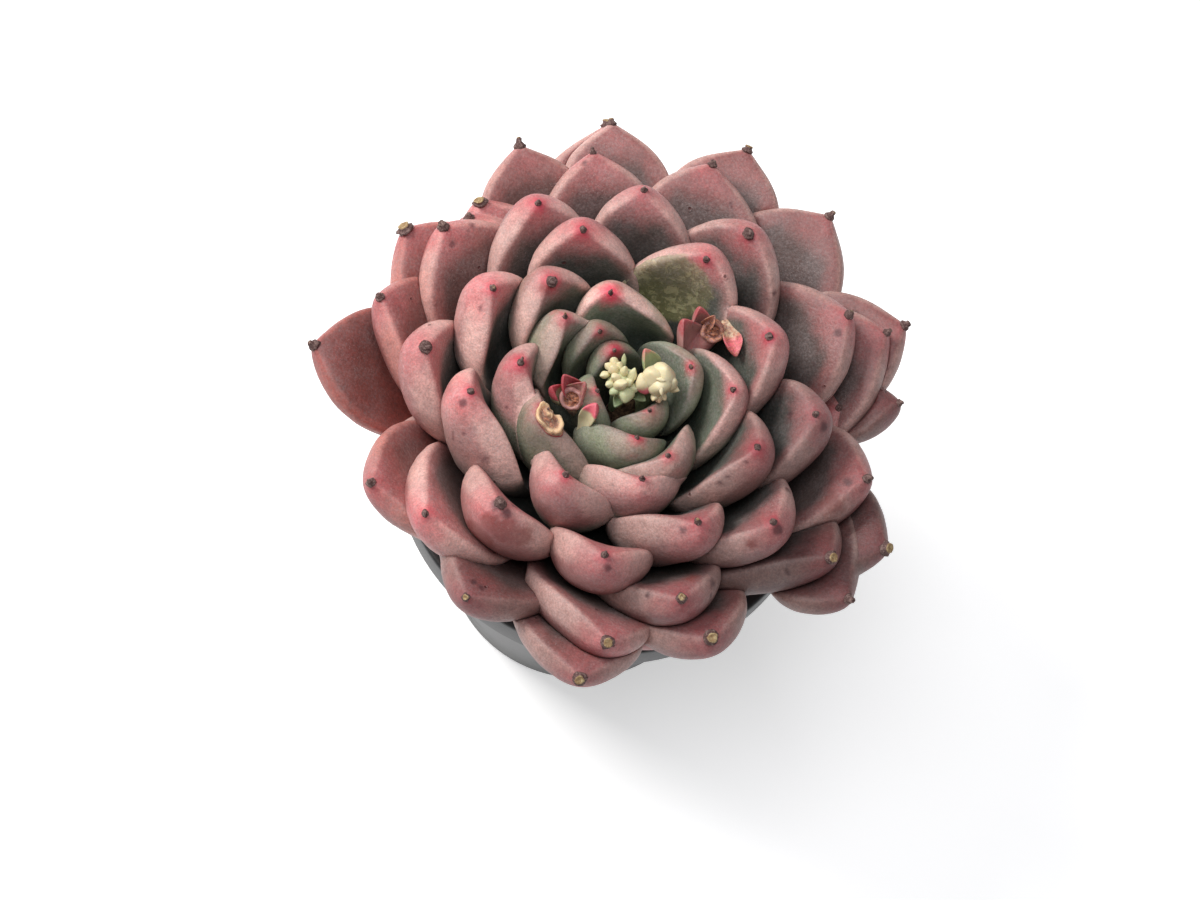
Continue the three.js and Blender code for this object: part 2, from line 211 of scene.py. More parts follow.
def worked_out(tree, operation, first, second=0.0, third=0.0, clamp=False):
    made = add_node(tree, "ShaderNodeMath", operation=operation, use_clamp=clamp)
    for index, value in enumerate((first, second, third)):
        feed(tree, made.inputs[index], value)
    return made.outputs[0]


def times(tree, first, second, clamp=False):
    return worked_out(tree, "MULTIPLY", first, second, clamp=clamp)


def times_plus(tree, value, factor, added):
    """value, times factor, plus added."""
    return worked_out(tree, "MULTIPLY_ADD", value, factor, added)


def grey_of(tree, value):
    """A number as a grey colour."""
    inputs = {name: value for name in ("Red", "Green", "Blue")}
    return add_node(tree, "ShaderNodeCombineColor", inputs).outputs[0]


def darkened(tree, colour, light):
    """The colour times a number."""
    return mixed(tree, 1.0, colour, grey_of(tree, light), "MULTIPLY")


def stretched(tree, value, low, high, to_low=0.0, to_high=1.0):
    """value, with low to high stretched smoothly to to_low and to_high."""
    inputs = {"Value": value, "From Min": low, "From Max": high, "To Min": to_low, "To Max": to_high}
    return add_node(tree, "ShaderNodeMapRange", inputs, interpolation_type="SMOOTHSTEP").outputs["Result"]


def place_in_piece(tree):
    """Where a point is in the piece, in metres."""
    return add_node(tree, "ShaderNodeTexCoord").outputs["Object"]


def noise_at(tree, size, detail=3.0, roughness=0.55, distortion=0.0):
    """A noise whose grains are about size millimetres across, from 0 to 1."""
    inputs = {
        "Vector": place_in_piece(tree),
        "Scale": 1 / (size * MM),
        "Detail": detail,
        "Roughness": roughness,
        "Distortion": distortion,
    }
    return add_node(tree, "ShaderNodeTexNoise", inputs).outputs["Fac"]


def from_mesh(tree, name):
    """A number that the mesh carries at each vertex."""
    return add_node(tree, "ShaderNodeAttribute", attribute_name=name).outputs["Fac"]


def new_material(name, roughness=0.5):
    """A material with one Principled shader, and its tree and shader to work on."""
    material = bpy.data.materials.new(name)
    material.use_nodes = True
    tree = material.node_tree
    shader = tree.nodes["Principled BSDF"]
    shader.inputs["Roughness"].default_value = roughness
    print("material:", name)
    return material, tree, shader


def bump_into(tree, shader, height, distance, strength=1.0):
    """Height, from 0 to 1, becomes relief of distance millimetres."""
    inputs = {"Height": height, "Distance": distance * MM, "Strength": strength}
    feed(tree, shader.inputs["Normal"], add_node(tree, "ShaderNodeBump", inputs).outputs["Normal"])


def let_light_in(shader, weight, colour_reach, depth):
    """Light goes a little way into the flesh, red the furthest. The depth is in millimetres."""
    shader.inputs["Subsurface Weight"].default_value = weight
    shader.inputs["Subsurface Radius"].default_value = colour_reach
    shader.inputs["Subsurface Scale"].default_value = depth * MM


# %% [markdown]
# ## Floor
#
# The photograph's ground is pure white, so the floor is a plain sheet that glows a little, as a light table
# does. That keeps it pale in the plant's own shadow. It is a stage, not a part of the plant.

# %% Pale floor
FLOOR_HALF_SIDE = 0.9
FLOOR_GLOW = 0.5


def lay_floor():
    half = FLOOR_HALF_SIDE
    corners = [(-half, -half, 0), (half, -half, 0), (half, half, 0), (-half, half, 0)]
    mesh = bpy.data.meshes.new("floor")
    mesh.from_pydata(corners, [], [(0, 1, 2, 3)])
    floor = bpy.data.objects.new("floor", mesh)
    scene.collection.objects.link(floor)
    material, tree, shader = new_material("pale floor", 0.8)
    tone = stretched(tree, noise_at(tree, 60.0, 2.0), 0.3, 0.7)
    feed(tree, shader.inputs["Base Color"], mixed(tree, tone, paint(251, 251, 251), paint(247, 247, 248)))
    shader.inputs["Emission Color"].default_value = (1, 1, 1, 1)
    shader.inputs["Emission Strength"].default_value = FLOOR_GLOW
    mesh.materials.append(material)


lay_floor()

# %% [markdown]
# ## Shared effects
#
# Three effects come back, so each is a node group that is built once: the powdery bloom that the plant's skin
# wears, the pits of a leaf that has lived outdoors, which come back wider and fainter as freckles, and the
# crumb of dried, woody tissue. A group only gives out colours, masks and heights. The shader stays in the
# material.



# %% Build the node groups
def new_group(name, inputs, outputs):
    """A node group with named sockets: (name, kind, default) in, (name, kind) out."""
    group = bpy.data.node_groups.new(name, "ShaderNodeTree")
    for socket, kind, default in inputs:
        made = group.interface.new_socket(socket, in_out="INPUT", socket_type=kind)
        made.default_value = default
    for socket, kind in outputs:
        group.interface.new_socket(socket, in_out="OUTPUT", socket_type=kind)
    return group, group.nodes.new("NodeGroupInput").outputs, group.nodes.new("NodeGroupOutput").inputs


COLOUR, NUMBER = "NodeSocketColor", "NodeSocketFloat"


def powdery_bloom():
    """A waxy powder that lies thicker in some places, rubbed off in others, with a fine sparkle of grains."""
    inputs = [
        ("Skin", COLOUR, paint(188, 188, 188)),
        ("Powder", COLOUR, paint(231, 231, 231)),
        ("Amount", NUMBER, 0.3),
    ]
    group, given, wanted = new_group("powdery bloom", inputs, [("Colour", COLOUR), ("Mask", NUMBER)])
    patches = stretched(group, noise_at(group, 4.5, 4.0, 0.6), 0.32, 0.72, 0.45, 1.0)
    grains = stretched(group, noise_at(group, 0.35, 2.0, 0.7), 0.35, 0.75, 0.5, 1.3)
    mask = times(group, times(group, patches, grains), given["Amount"], clamp=True)
    feed(group, wanted["Colour"], mixed(group, mask, given["Skin"], given["Powder"]))
    feed(group, wanted["Mask"], mask)
    return group


def pits_and_freckles():
    """Sparse small pits: the cells of a cell pattern that draw a low number get one, each of its own size."""
    inputs = [("Spacing", NUMBER, 4.0), ("Share", NUMBER, 0.3), ("Radius", NUMBER, 0.12)]
    group, given, wanted = new_group("pits and freckles", inputs, [("Mask", NUMBER), ("Height", NUMBER)])
    scale = worked_out(group, "DIVIDE", 1 / MM, given["Spacing"])
    inputs = {"Vector": place_in_piece(group), "Scale": scale, "Randomness": 1.0}
    cells = add_node(group, "ShaderNodeTexVoronoi", inputs)
    lot = add_node(group, "ShaderNodeSeparateColor", {"Color": cells.outputs["Color"]}).outputs["Red"]
    chosen = worked_out(group, "LESS_THAN", lot, given["Share"])
    size = worked_out(group, "ADD", 0.5, worked_out(group, "DIVIDE", lot, given["Share"]))
    radius = times(group, given["Radius"], size)
    near = worked_out(group, "DIVIDE", cells.outputs["Distance"], radius)
    spot = times(group, stretched(group, near, 0.55, 1.25, 1.0, 0.0), chosen)
    lip = times(group, stretched(group, near, 1.2, 2.2, 1.0, 0.0), chosen)
    feed(group, wanted["Mask"], spot)
    feed(group, wanted["Height"], worked_out(group, "SUBTRACT", lip, times(group, spot, 2.0)))
    return group


def dry_crumb():
    """Fine fibres and crumbs of dead tissue, as a mask of its pale ridges and a height."""
    outputs = [("Ridges", NUMBER), ("Height", NUMBER)]
    group, given, wanted = new_group("dry crumb", [("Size", NUMBER, 0.3)], outputs)
    scale = worked_out(group, "DIVIDE", 1 / MM, given["Size"])
    inputs = {"Vector": place_in_piece(group), "Scale": scale}
    inputs.update({"Detail": 4.0, "Roughness": 0.7, "Distortion": 1.2})
    fibres = add_node(group, "ShaderNodeTexNoise", inputs).outputs["Fac"]
    feed(group, wanted["Ridges"], stretched(group, fibres, 0.42, 0.66))
    feed(group, wanted["Height"], fibres)
    return group


BLOOM, PITS, CRUMB = powdery_bloom(), pits_and_freckles(), dry_crumb()


def use_group(tree, group, **inputs):
    made = add_node(tree, "ShaderNodeGroup", node_tree=group)
    for name, value in inputs.items():
        feed(tree, made.inputs[name], value)
    return made.outputs


print("node groups:", [g.name for g in bpy.data.node_groups])

# %% [markdown]
# ## Leaf skin
#
# Young leaves are grey-green and blush pink only at the tip. Old ones are brownish rose all over. Every leaf
# has a crimson halo round its dry point and the powdery bloom. Its inner face is darker than its back, partly
# its own greener colour and partly painted shade, and lower down both faces carry grey-green painted shade of
# the rosette's inside. A pale margin near the tip is partly the leaf's own edge colour and partly a painted
# highlight, and each leaf's tone carries painted shade on one side of the rosette and painted light on the
# other. The meshes carry where each of these goes as numbers at their vertices, and noise breaks up their
# edges here.

# %% Leaf skin material
HEART_GREEN = paint(123, 130, 103)
MIDDLE_MAUVE = paint(118, 102, 96)
OLD_MAUVE = paint(110, 80, 75)
# The inner faces' tones: partly their own greener colour, partly painted shade.
HEART_INNER_AND_SHADE = paint(79, 92, 72)
MIDDLE_INNER_AND_SHADE = paint(64, 70, 64)
OLD_INNER_AND_SHADE = paint(85, 64, 59)
# Painted shade of the rosette's inside, from grey-green in young leaves to brown in old ones.
PAINTED_SHADE_GREEN = paint(30, 42, 34)
PAINTED_SHADE_GREY = paint(22, 29, 26)
PAINTED_SHADE_BROWN = paint(36, 29, 27)
YOUNG_PINK = paint(167, 115, 112)
MIDDLE_ROSE = paint(172, 108, 104)
OLD_ROSE = paint(142, 82, 78)
RUDDY = paint(152, 66, 56)
# The pale margin near the tip: partly the leaf's own edge colour, partly a painted highlight.
PALE_RIM_AND_HIGHLIGHT = paint(214, 172, 162)
CORAL_RIM_AND_HIGHLIGHT = paint(222, 112, 98)
GLOW_PINK = paint(186, 84, 88)
CRIMSON = paint(192, 51, 74)
POWDER = paint(196, 182, 182)
GRAIN_PALE = paint(204, 188, 185)
STAIN_OLIVE = paint(104, 104, 64)
STAIN_PALE = paint(158, 154, 112)
PATCH_BROWN = paint(132, 60, 54)
SPOT_PURPLE = paint(84, 48, 54)
PIT_BROWN = paint(92, 48, 48)
FRECKLE_GREY = paint(112, 92, 92)


def by_age(tree, age, young, middle, old):
    """A colour that goes from young through middle to old leaves."""
    first = stretched(tree, age, 0.0, 0.45)
    second = stretched(tree, age, 0.45, 1.0)
    return mixed(tree, second, mixed(tree, first, young, middle), old)


def ragged_mask(tree, name, grain, strength, low, high):
    """A number that the mesh carries, with its edge broken up by a noise of grain millimetres."""
    noisy = times_plus(tree, noise_at(tree, grain, 5.0, 0.65), strength, -0.5 * strength)
    return stretched(tree, worked_out(tree, "ADD", from_mesh(tree, name), noisy), low, high)


# The ragged edge of each mask: the grain in millimetres, how far it moves the edge, and the two values that
# the mask fades in between.
LEAF_EDGES = {
    "blush": (3.5, 0.35, 0.1, 0.95),
    "deep": (4.0, 0.3, 0.05, 1.0),
    "rim": (2.0, 0.5, 0.25, 1.1),
    "glow": (1.6, 0.7, 0.1, 1.0),
    "stain": (2.2, 0.7, 0.35, 0.6),
    "red": (0.9, 0.7, 0.15, 1.0),
    "patch": (0.8, 0.8, 0.25, 0.8),
    "spot": (0.6, 0.4, 0.2, 0.75),
}
# How much of the skin each layer hides where its mask is full.
LEAF_COVER = {
    "deep": 0.93, "ruddy": 0.75, "rim": 0.68, "glow": 0.75, "stain": 0.75,
    "red": 0.85, "patch": 0.62, "freckles": 0.35, "pits": 0.75, "spot": 0.72,
}
# Mottles of the skin, from coarse to fine: the grain in millimetres, and the darkest and the lightest.
LEAF_MOTTLES = ((4.0, 0.88, 1.1), (1.0, 0.92, 1.08), (0.25, 0.82, 1.18))


def leaf_skin():
    material, tree, shader = new_material("leaf skin")
    age, inner, ruddy = (from_mesh(tree, name) for name in ("age", "inner", "ruddy"))
    freckles = use_group(tree, PITS, Spacing=1.3, Share=0.2, Radius=0.13)
    pits = use_group(tree, PITS, Spacing=3.4, Share=0.3, Radius=0.06)
    masks = {name: ragged_mask(tree, name, *edge) for name, edge in LEAF_EDGES.items()}
    masks.update(ruddy=ruddy, freckles=freckles["Mask"], pits=pits["Mask"])

    def laid_over(colour, layer, tone):
        """The colour with a layer of a tone over it."""
        return mixed(tree, times(tree, masks[layer], LEAF_COVER[layer]), colour, tone)

    back_tone = by_age(tree, age, HEART_GREEN, MIDDLE_MAUVE, OLD_MAUVE)
    # The inner face is darker than the back: partly its own greener colour, partly painted shade.
    inner_tone_and_shade = by_age(tree, age, HEART_INNER_AND_SHADE, MIDDLE_INNER_AND_SHADE, OLD_INNER_AND_SHADE)
    blush_tone = by_age(tree, age, YOUNG_PINK, MIDDLE_ROSE, OLD_ROSE)
    painted_shade_tone = by_age(tree, age, PAINTED_SHADE_GREEN, PAINTED_SHADE_GREY, PAINTED_SHADE_BROWN)
    colour = mixed(tree, masks["blush"], mixed(tree, inner, back_tone, inner_tone_and_shade), blush_tone)
    # Painted shade of the rosette's inside, deep in each leaf.
    colour = laid_over(colour, "deep", painted_shade_tone)
    colour = laid_over(colour, "ruddy", RUDDY)
    # A pale margin, partly the leaf's own edge colour and partly a painted highlight along the rim.
    colour = laid_over(colour, "rim", mixed(tree, ruddy, PALE_RIM_AND_HIGHLIGHT, CORAL_RIM_AND_HIGHLIGHT))
    colour = laid_over(colour, "glow", GLOW_PINK)
    for grain, least, most in LEAF_MOTTLES:
        mottle = stretched(tree, noise_at(tree, grain, 5.0, 0.7), 0.3, 0.7, least, most)
        colour = darkened(tree, colour, mottle)
    dried = stretched(tree, noise_at(tree, 1.3, 6.0, 0.7, 0.8), 0.5, 0.6)
    colour = laid_over(colour, "stain", mixed(tree, dried, STAIN_OLIVE, STAIN_PALE))
    powder = times_plus(tree, masks["deep"], -0.2, 0.27)
    bloom = use_group(tree, BLOOM, Skin=colour, Powder=POWDER, Amount=powder)
    colour = laid_over(bloom["Colour"], "red", CRIMSON)
    colour = laid_over(colour, "patch", PATCH_BROWN)
    grains = stretched(tree, noise_at(tree, 0.2, 1.0, 0.5), 0.6, 0.75)
    grains = times(tree, grains, stretched(tree, noise_at(tree, 6.0, 3.0), 0.45, 0.7, 0.04, 0.35))
    grains = times(tree, grains, times_plus(tree, masks["deep"], -0.8, 1.0))
    colour = mixed(tree, grains, colour, GRAIN_PALE)
    for layer, tone in (("freckles", FRECKLE_GREY), ("pits", PIT_BROWN), ("spot", SPOT_PURPLE)):
        colour = laid_over(colour, layer, tone)
    # The tone: painted light and shade by side and by leaf, partly the leaves' own tone.
    feed(tree, shader.inputs["Base Color"], darkened(tree, colour, from_mesh(tree, "tone")))
    feed(tree, shader.inputs["Roughness"], times_plus(tree, bloom["Mask"], 0.3, 0.44))
    fine = times(tree, noise_at(tree, 0.5, 4.0, 0.65), 0.7)
    height = worked_out(tree, "ADD", fine, times(tree, pits["Height"], 0.35))
    bump_into(tree, shader, height, 0.16, 0.9)
    shader.inputs["Specular IOR Level"].default_value = 0.4
    let_light_in(shader, 0.12, (1.0, 0.4, 0.3), 1.4)
    return material


LEAF_SKIN = leaf_skin()

# %% [markdown]
# ## Leaves
#
# Each leaf is a thick, blunt blade: narrow where it joins the stem, broadest near its end, flat to cupped
# inside and full behind. One midline and one section make them all, as in the CAD source, so the fine leaf
# lies on the coarse one. The table gives each leaf its place, read off the plant from the middle outwards.

# %% Table of leaves
# The azimuth of the tip, its reach, the breadth, and how far the tip stands aside of the blade's middle.
# A fifth number lifts the tip, and a sixth turns the blade about its own length, in degrees.
LEAVES = [
    (134, 4.5, 7.5, 0), (315, 4.5, 8, 0), (216, 4.5, 8, 0), (139, 7.2, 9, -0.8, 0, -8),
    (31, 7.2, 12, -0.8, 0, 8), (288, 8, 11, 1.6, 0, -20), (156, 11.3, 9.3, -2.2),
    (308, 11.3, 12.4, 0, 0, 17), (10, 12, 16, 0, 0, 8), (119, 11.2, 12.5, 2, 0, -18),
    (224, 12, 13.2, -2.2, 0, 10), (289, 14, 13.2, 0.8, 0, -8), (34, 17.6, 15.5, -0.2, 0, -6),
    (194, 14, 13.8, -2.4, 0, 7), (344, 17.8, 14.5, 1.8), (147, 15.6, 12.2, -1),
    (76, 18.5, 15, -1.1, 0, 6), (254, 16.4, 12.2, -1, 0, -8), (307, 21, 13, 2.4, 0, -12),
    (206, 20.4, 14, -3.4, 0, 18), (165, 20.6, 13.5, -1.9, 0, 5), (123.5, 20.6, 14.5, 0, 0, -18),
    (70, 26.4, 17, 0.4, 0, -6), (6, 23.5, 14, 1.4, 0, 6), (329, 25.3, 16, 0.6),
    (277, 24, 13.5, 0.2, 0, -5), (243, 24.2, 15, 0), (189, 26.2, 15, -0.7), (102, 27.3, 13.6, 1, 0, -6),
    (132, 27, 14, -1.5), (38, 31, 19.4, -1.2), (87, 37.5, 18.4, 2.4), (112, 35.8, 15.7, 0.4),
    (153, 32.7, 17.8, -0.6), (175, 34.3, 17.4, -1.6, 0, 18), (231, 31, 17.8, 0.7, 0, -7),
    (250, 34.5, 15.5, -0.4), (298, 29, 15.5, 1), (281, 33.5, 16, 2.8, 0, -16), (277, 37.8, 17, 1),
    (303.5, 33.8, 16, 0.6), (336, 33.3, 17.5, 3, 0, -18), (357, 32.5, 17, 1), (347, 38.5, 17, 0),
    (334, 38.4, 16, -4), (62, 41, 18.8, 0.2), (82, 43.2, 17.6, 0.3), (107, 42.3, 15.5, 0.5),
    (108, 43.2, 16.5, -2.2, -1.6), (126.5, 40.2, 15.5, -0.5), (140, 34, 13, 0, -3),
    (145, 32.5, 12, 0, -3), (157, 37.2, 17.4, -0.6), (186, 41, 17.3, 0.5), (218, 35, 17.5, -0.5),
    (34, 36.8, 17, 2), (35.5, 40.3, 17.4, -0.8), (20.5, 36.8, 8.4, 0, -3),
]
LOWER_LEAVES = 7
LOWER_RISE = -9.6
for k in range(LOWER_LEAVES):
    LEAVES.append((20 + k * GOLDEN_ANGLE, 29 + 2 * draw(k), 15, 0, LOWER_RISE))
print(len(LEAVES), "leaves, of which", LOWER_LEAVES, "are old ones below")

# How a leaf changes with the reach of its tip, as pairs of reach and value.
TIP_LEVEL = [[0, -1], [4, 0], [10, 2.2], [18, 3.4], [24, 2], [30, -1.5], [38, -7.5], [44, -10.5]]
TIP_SLOPE = [[4, 84], [12, 87], [20, 86], [27, 75], [33, 58], [38, 42], [44, 30]]
BASE_LEVEL = [[4, -16.5], [12, -18], [20, -20], [30, -22], [38, -23.5], [44, -24]]
BASE_RADIUS = [[4, 1.5], [12, 3], [30, 4]]
LEAF_THICKNESS = [[4, 3.2], [8, 4.0], [12, 4.8], [20, 5.8], [28, 6.0], [38, 5.6], [44, 5.2]]
LEAF_CUP = [[4, 1.2], [8, 2.0], [12, 2.8], [18, 2.9], [26, 2.5], [34, 2.2], [44, 2.0]]

# %% [markdown]
# A leaf's surface is a grid: rings of points round the midline, one ring for each station along it. The rings
# are close together near the tip, where the form turns fast. Round a ring the points are spaced by distance
# along the section, so the rounded rim, which catches the light, gets as many as the flat faces.

# %% The midline of a leaf
CURL_POWER = 1.5
MIDLINE_STEPS = 80
# The inner leaves on one side stand steeper by so many degrees, and those opposite lie flatter by as much.
# This fades out between the two reaches.
CLOSED_AZIMUTH = 205
CLOSED_BY = 14
CLOSED_UP_TO, OPEN_FROM = 24, 36


def midline(base, tip, tip_slope, parts):
    """Points and directions at parts of the way from base to tip, the way it leans out, and its length."""
    out = np.array([tip[0] - base[0], tip[1] - base[1], 0.0])
    run, rise = np.linalg.norm(out), tip[2] - base[2]
    out = out / run
    chord = math.atan2(rise, run)
    curl = (math.radians(tip_slope) - chord) * (CURL_POWER + 1) / CURL_POWER
    bends = curl * ((np.arange(MIDLINE_STEPS) + 0.5) / MIDLINE_STEPS) ** CURL_POWER
    x = np.concatenate([[0], np.cumsum(np.cos(bends))])
    z = np.concatenate([[0], np.cumsum(np.sin(bends))])
    start = chord - math.atan2(z[-1], x[-1])
    scale = math.hypot(run, rise) / math.hypot(x[-1], z[-1])
    steps = np.clip(parts, 0, 1) * MIDLINE_STEPS
    x = np.interp(steps, np.arange(MIDLINE_STEPS + 1), x) * scale
    z = np.interp(steps, np.arange(MIDLINE_STEPS + 1), z) * scale
    points = base + np.outer(x * math.cos(start) - z * math.sin(start), out)
    points = points + np.outer(x * math.sin(start) + z * math.cos(start), UP)
    slopes = start + curl * np.asarray(parts) ** CURL_POWER
    along = np.outer(np.cos(slopes), out) + np.outer(np.sin(slopes), UP)
    return points, along, out, scale * MIDLINE_STEPS


# %% The section of a leaf, with its points spaced evenly by length
LENS_POWER = 0.76
ROUND_POWER = 0.8


def even_section(count, wide, deep, power):
    """count points of a rounded section from -1 to 1 each way, spaced by length for one of this shape."""
    angle = np.linspace(0, 2 * np.pi, 2001)
    x = np.sign(np.cos(angle)) * np.abs(np.cos(angle)) ** power
    y = np.sign(np.sin(angle)) * np.abs(np.sin(angle)) ** power
    run = np.concatenate([[0], np.cumsum(np.hypot(np.diff(x) * wide, np.diff(y) * deep))])
    at = np.interp(np.arange(count) / count * run[-1], run, np.arange(len(run)))
    return np.interp(at, np.arange(len(x)), x), np.interp(at, np.arange(len(y)), y)


# %% The surface of a leaf
BASE_WIDTH_SHARE = 0.42
BASE_DEPTH_SHARE, DEPTH_GAINED = 0.7, 0.3
BROADEST_FROM_TIP = 0.65
FULL_DEPTH_FROM_TIP = 0.4
END_ROUNDNESS = 2.5
END_WIDTH_POWER, END_DEPTH_POWER = 0.6, 0.44
INNER_FACE_SHARE = 0.24
LEAF_SIDES = 48
LOW_STATIONS, TIP_STATIONS = 13, 24
STATION_CROWDING, LAST_STATION = 1.8, 0.03
DRAWN_OUT_FROM, DRAWN_OUT_POWER = 3.5, 1.3
LEAF_UNEVENNESS = 0.22
SLOW_LUMPS, QUICK_LUMPS, QUICK_SHARE = 0.16, 0.42, 0.4


def rounded_end(from_tip, full_at, power):
    """The share of its full size that a leaf has near its end, full from so many widths below the tip."""
    return (1 - np.maximum(0, 1 - from_tip / full_at) ** END_ROUNDNESS) ** power


def lumped(points, middle, seed, amount, fade):
    """points moved out from their middle, or in, by a slow and a quicker noise."""
    outward = points - middle
    outward = outward / (np.linalg.norm(outward, axis=1, keepdims=True) + 1e-6)
    slow_seed, quick_seed = Vector((seed * 7.3, 0, 0)), Vector((0, seed * 5.1, 0))
    slow = np.array([noise.noise(Vector(p * SLOW_LUMPS) + slow_seed) for p in points])
    quick = np.array([noise.noise(Vector(p * QUICK_LUMPS) + quick_seed) for p in points])
    return points + outward * ((slow + QUICK_SHARE * quick) * amount * fade)[:, None]


def leaf_surface(base, tip, tip_slope, width, thickness, cup, aside=0, turn=0, *, inner_share, nipple,
                 nipple_radius, seed, point_in=0.0, sides=LEAF_SIDES, unevenness=LEAF_UNEVENNESS):
    """The points of one leaf in millimetres, ring after ring, with numbers that say where each lies on it."""
    _, _, _, length = midline(base, tip, tip_slope, np.array([0.0, 1.0]))
    broadest = 1 - BROADEST_FROM_TIP * width / length
    low = np.linspace(0, broadest, LOW_STATIONS, endpoint=False)
    crowded = np.linspace(1, LAST_STATION, TIP_STATIONS) ** STATION_CROWDING
    high = 1 - BROADEST_FROM_TIP * width / length * crowded
    parts = np.concatenate([low, high])
    points, along, out, _ = midline(base, tip, tip_slope, parts)
    across = np.tile(np.cross(UP, out), (len(parts), 1))
    inner = np.cross(along, across)
    angle = np.radians(turn) * parts[:, None]
    turned_across = across * np.cos(angle) + inner * np.sin(angle)
    across, inner = turned_across, inner * np.cos(angle) - across * np.sin(angle)

    # How wide, deep, cupped and shifted each ring is.
    from_tip = (1 - parts) * length / width
    swell = ease(parts, 0, broadest)
    taper = rounded_end(from_tip, BROADEST_FROM_TIP, END_WIDTH_POWER)
    breadth = (BASE_WIDTH_SHARE + (1 - BASE_WIDTH_SHARE) * swell) * taper
    blunt = rounded_end(from_tip, FULL_DEPTH_FROM_TIP, END_DEPTH_POWER)
    depth = thickness * (BASE_DEPTH_SHARE + DEPTH_GAINED * swell) * blunt
    lift = cup * breadth * np.minimum(1, 1.6 * parts)
    shift = aside * (np.maximum(0, 1 - from_tip / BROADEST_FROM_TIP) - 1)

    # The section goes from a lens in the blade to a rounder one near the end.
    roundness = ease(parts, broadest - 0.1, 0.97)[:, None]
    lens_x, lens_y = even_section(sides, width / 2, thickness / 2, LENS_POWER)
    round_x, round_y = even_section(sides, width / 2, thickness / 2, ROUND_POWER)
    x = lens_x + (round_x - lens_x) * roundness
    y = lens_y + (round_y - lens_y) * roundness
    share = INNER_FACE_SHARE + (inner_share - INNER_FACE_SHARE) * ease(parts, 0.5, 0.95)
    face = np.where(y >= 0, share[:, None], 1 - share[:, None])
    side_by = 0.5 * width * breadth[:, None] * x + shift[:, None]
    in_by = lift[:, None] * x ** 2 + depth[:, None] * face * y
    grid = points[:, None, :] + across[:, None, :] * side_by[..., None] + inner[:, None, :] * in_by[..., None]

    # The skin is drawn out a little where the dry point stands.
    ends, end_along, _, _ = midline(base, tip, tip_slope, np.array([1.0]))
    end, up_tip = ends[0], end_along[0]
    cap = grid[-TIP_STATIONS:].reshape(-1, 3)
    wanted = end + inner[-1] * point_in + up_tip * 0.3
    spot = cap[np.argmin(np.linalg.norm(cap - wanted, axis=1))]
    lean = spot - (end - up_tip * DRAWN_OUT_FROM)
    lean = lean / np.linalg.norm(lean)
    near = np.linalg.norm(grid - spot, axis=2)
    grid = grid + lean * (nipple * np.exp(-((near / nipple_radius) ** DRAWN_OUT_POWER)))[..., None]
    end_near = np.linalg.norm(end - spot) / nipple_radius
    tip_point = end + lean * nipple * math.exp(-(end_near**DRAWN_OUT_POWER))

    fade = np.repeat(ease(from_tip, 0.0, 0.25), sides)
    flat = lumped(grid.reshape(-1, 3), np.repeat(points, sides, axis=0), seed, unevenness, fade)
    numbers = {
        "down": np.repeat((1 - parts) * length, sides),
        "x": x.reshape(-1),
        "y": y.reshape(-1),
        "half": np.repeat(0.5 * width * breadth, sides),
        "near": near.reshape(-1),
        "lateral": side_by.reshape(-1),
    }
    return flat, tip_point, (spot + lean * nipple, lean), numbers


# %% [markdown]
# Where leaves crowd, a living leaf doesn't pass through its neighbour: its inner face takes the print of the
# full back of the leaf inside it. So each leaf is set against the ones already standing, and the points that
# would lie inside one of them are moved out to its skin.


# %% A closed mesh from rings, and the press of neighbours
def ring_faces(rings, sides, first=0, closed_tip=None, closed_base=None):
    """Faces of a skin through rings of points, with a point at each end."""
    faces = []
    for r in range(rings - 1):
        for i in range(sides):
            a, b = first + r * sides + i, first + r * sides + (i + 1) % sides
            faces.append((a, b, b + sides, a + sides))
    if closed_tip is not None:
        last = first + (rings - 1) * sides
        faces += [(last + i, last + (i + 1) % sides, closed_tip) for i in range(sides)]
    if closed_base is not None:
        faces += [(first + (i + 1) % sides, first + i, closed_base) for i in range(sides)]
    return faces


def closed_skin(points, sides, tip, base):
    """The points and faces of a skin through rings of so many sides, with a point to close each end."""
    rings = len(points) // sides
    points = np.vstack([points, tip, base])
    return points, ring_faces(rings, sides, 0, len(points) - 2, len(points) - 1)


class Piece:
    """Collects closed skins, with the numbers at their points, and becomes one Blender object."""

    def __init__(self, name):
        self.name = name
        self.points, self.faces, self.numbers, self.count = [], [], {}, 0

    def add(self, points, faces, **numbers):
        points = np.asarray(points, float)
        self.points.append(points)
        self.faces += [tuple(i + self.count for i in face) for face in faces]
        for key in set(self.numbers) | set(numbers):
            value = numbers.get(key, 0.0)
            earlier = self.numbers.setdefault(key, [np.zeros(self.count)] if self.count else [])
            earlier.append(np.broadcast_to(np.asarray(value, float), (len(points),)).copy())
        self.count += len(points)

    def make(self, material, slot, *nodes):
        """The Blender object: smooth, in metres, riding on the plant's one body, in place of CAD nodes."""
        mesh = bpy.data.meshes.new(self.name)
        mesh.from_pydata(np.concatenate(self.points) * MM, [], self.faces)
        for key, parts in self.numbers.items():
            layer = mesh.attributes.new(key, "FLOAT", "POINT")
            layer.data.foreach_set("value", np.concatenate(parts).astype(np.float32))
        mesh.polygons.foreach_set("use_smooth", np.ones(len(mesh.polygons), bool))
        mesh.update()
        made = bpy.data.objects.new(self.name, mesh)
        made.data.materials.append(material)
        scene.collection.objects.link(made)
        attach(made, "root")
        if nodes:
            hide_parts(*nodes)
        print(f"{self.name}: {sum(len(f) - 2 for f in self.faces)} triangles")
        return made


# How far off a pressed skin keeps, and how deep inside a neighbour a point still moves in full or not at all.
PRESS_GAP = 0.06
PRESS_FULL, PRESS_NONE = 0.9, 2.2


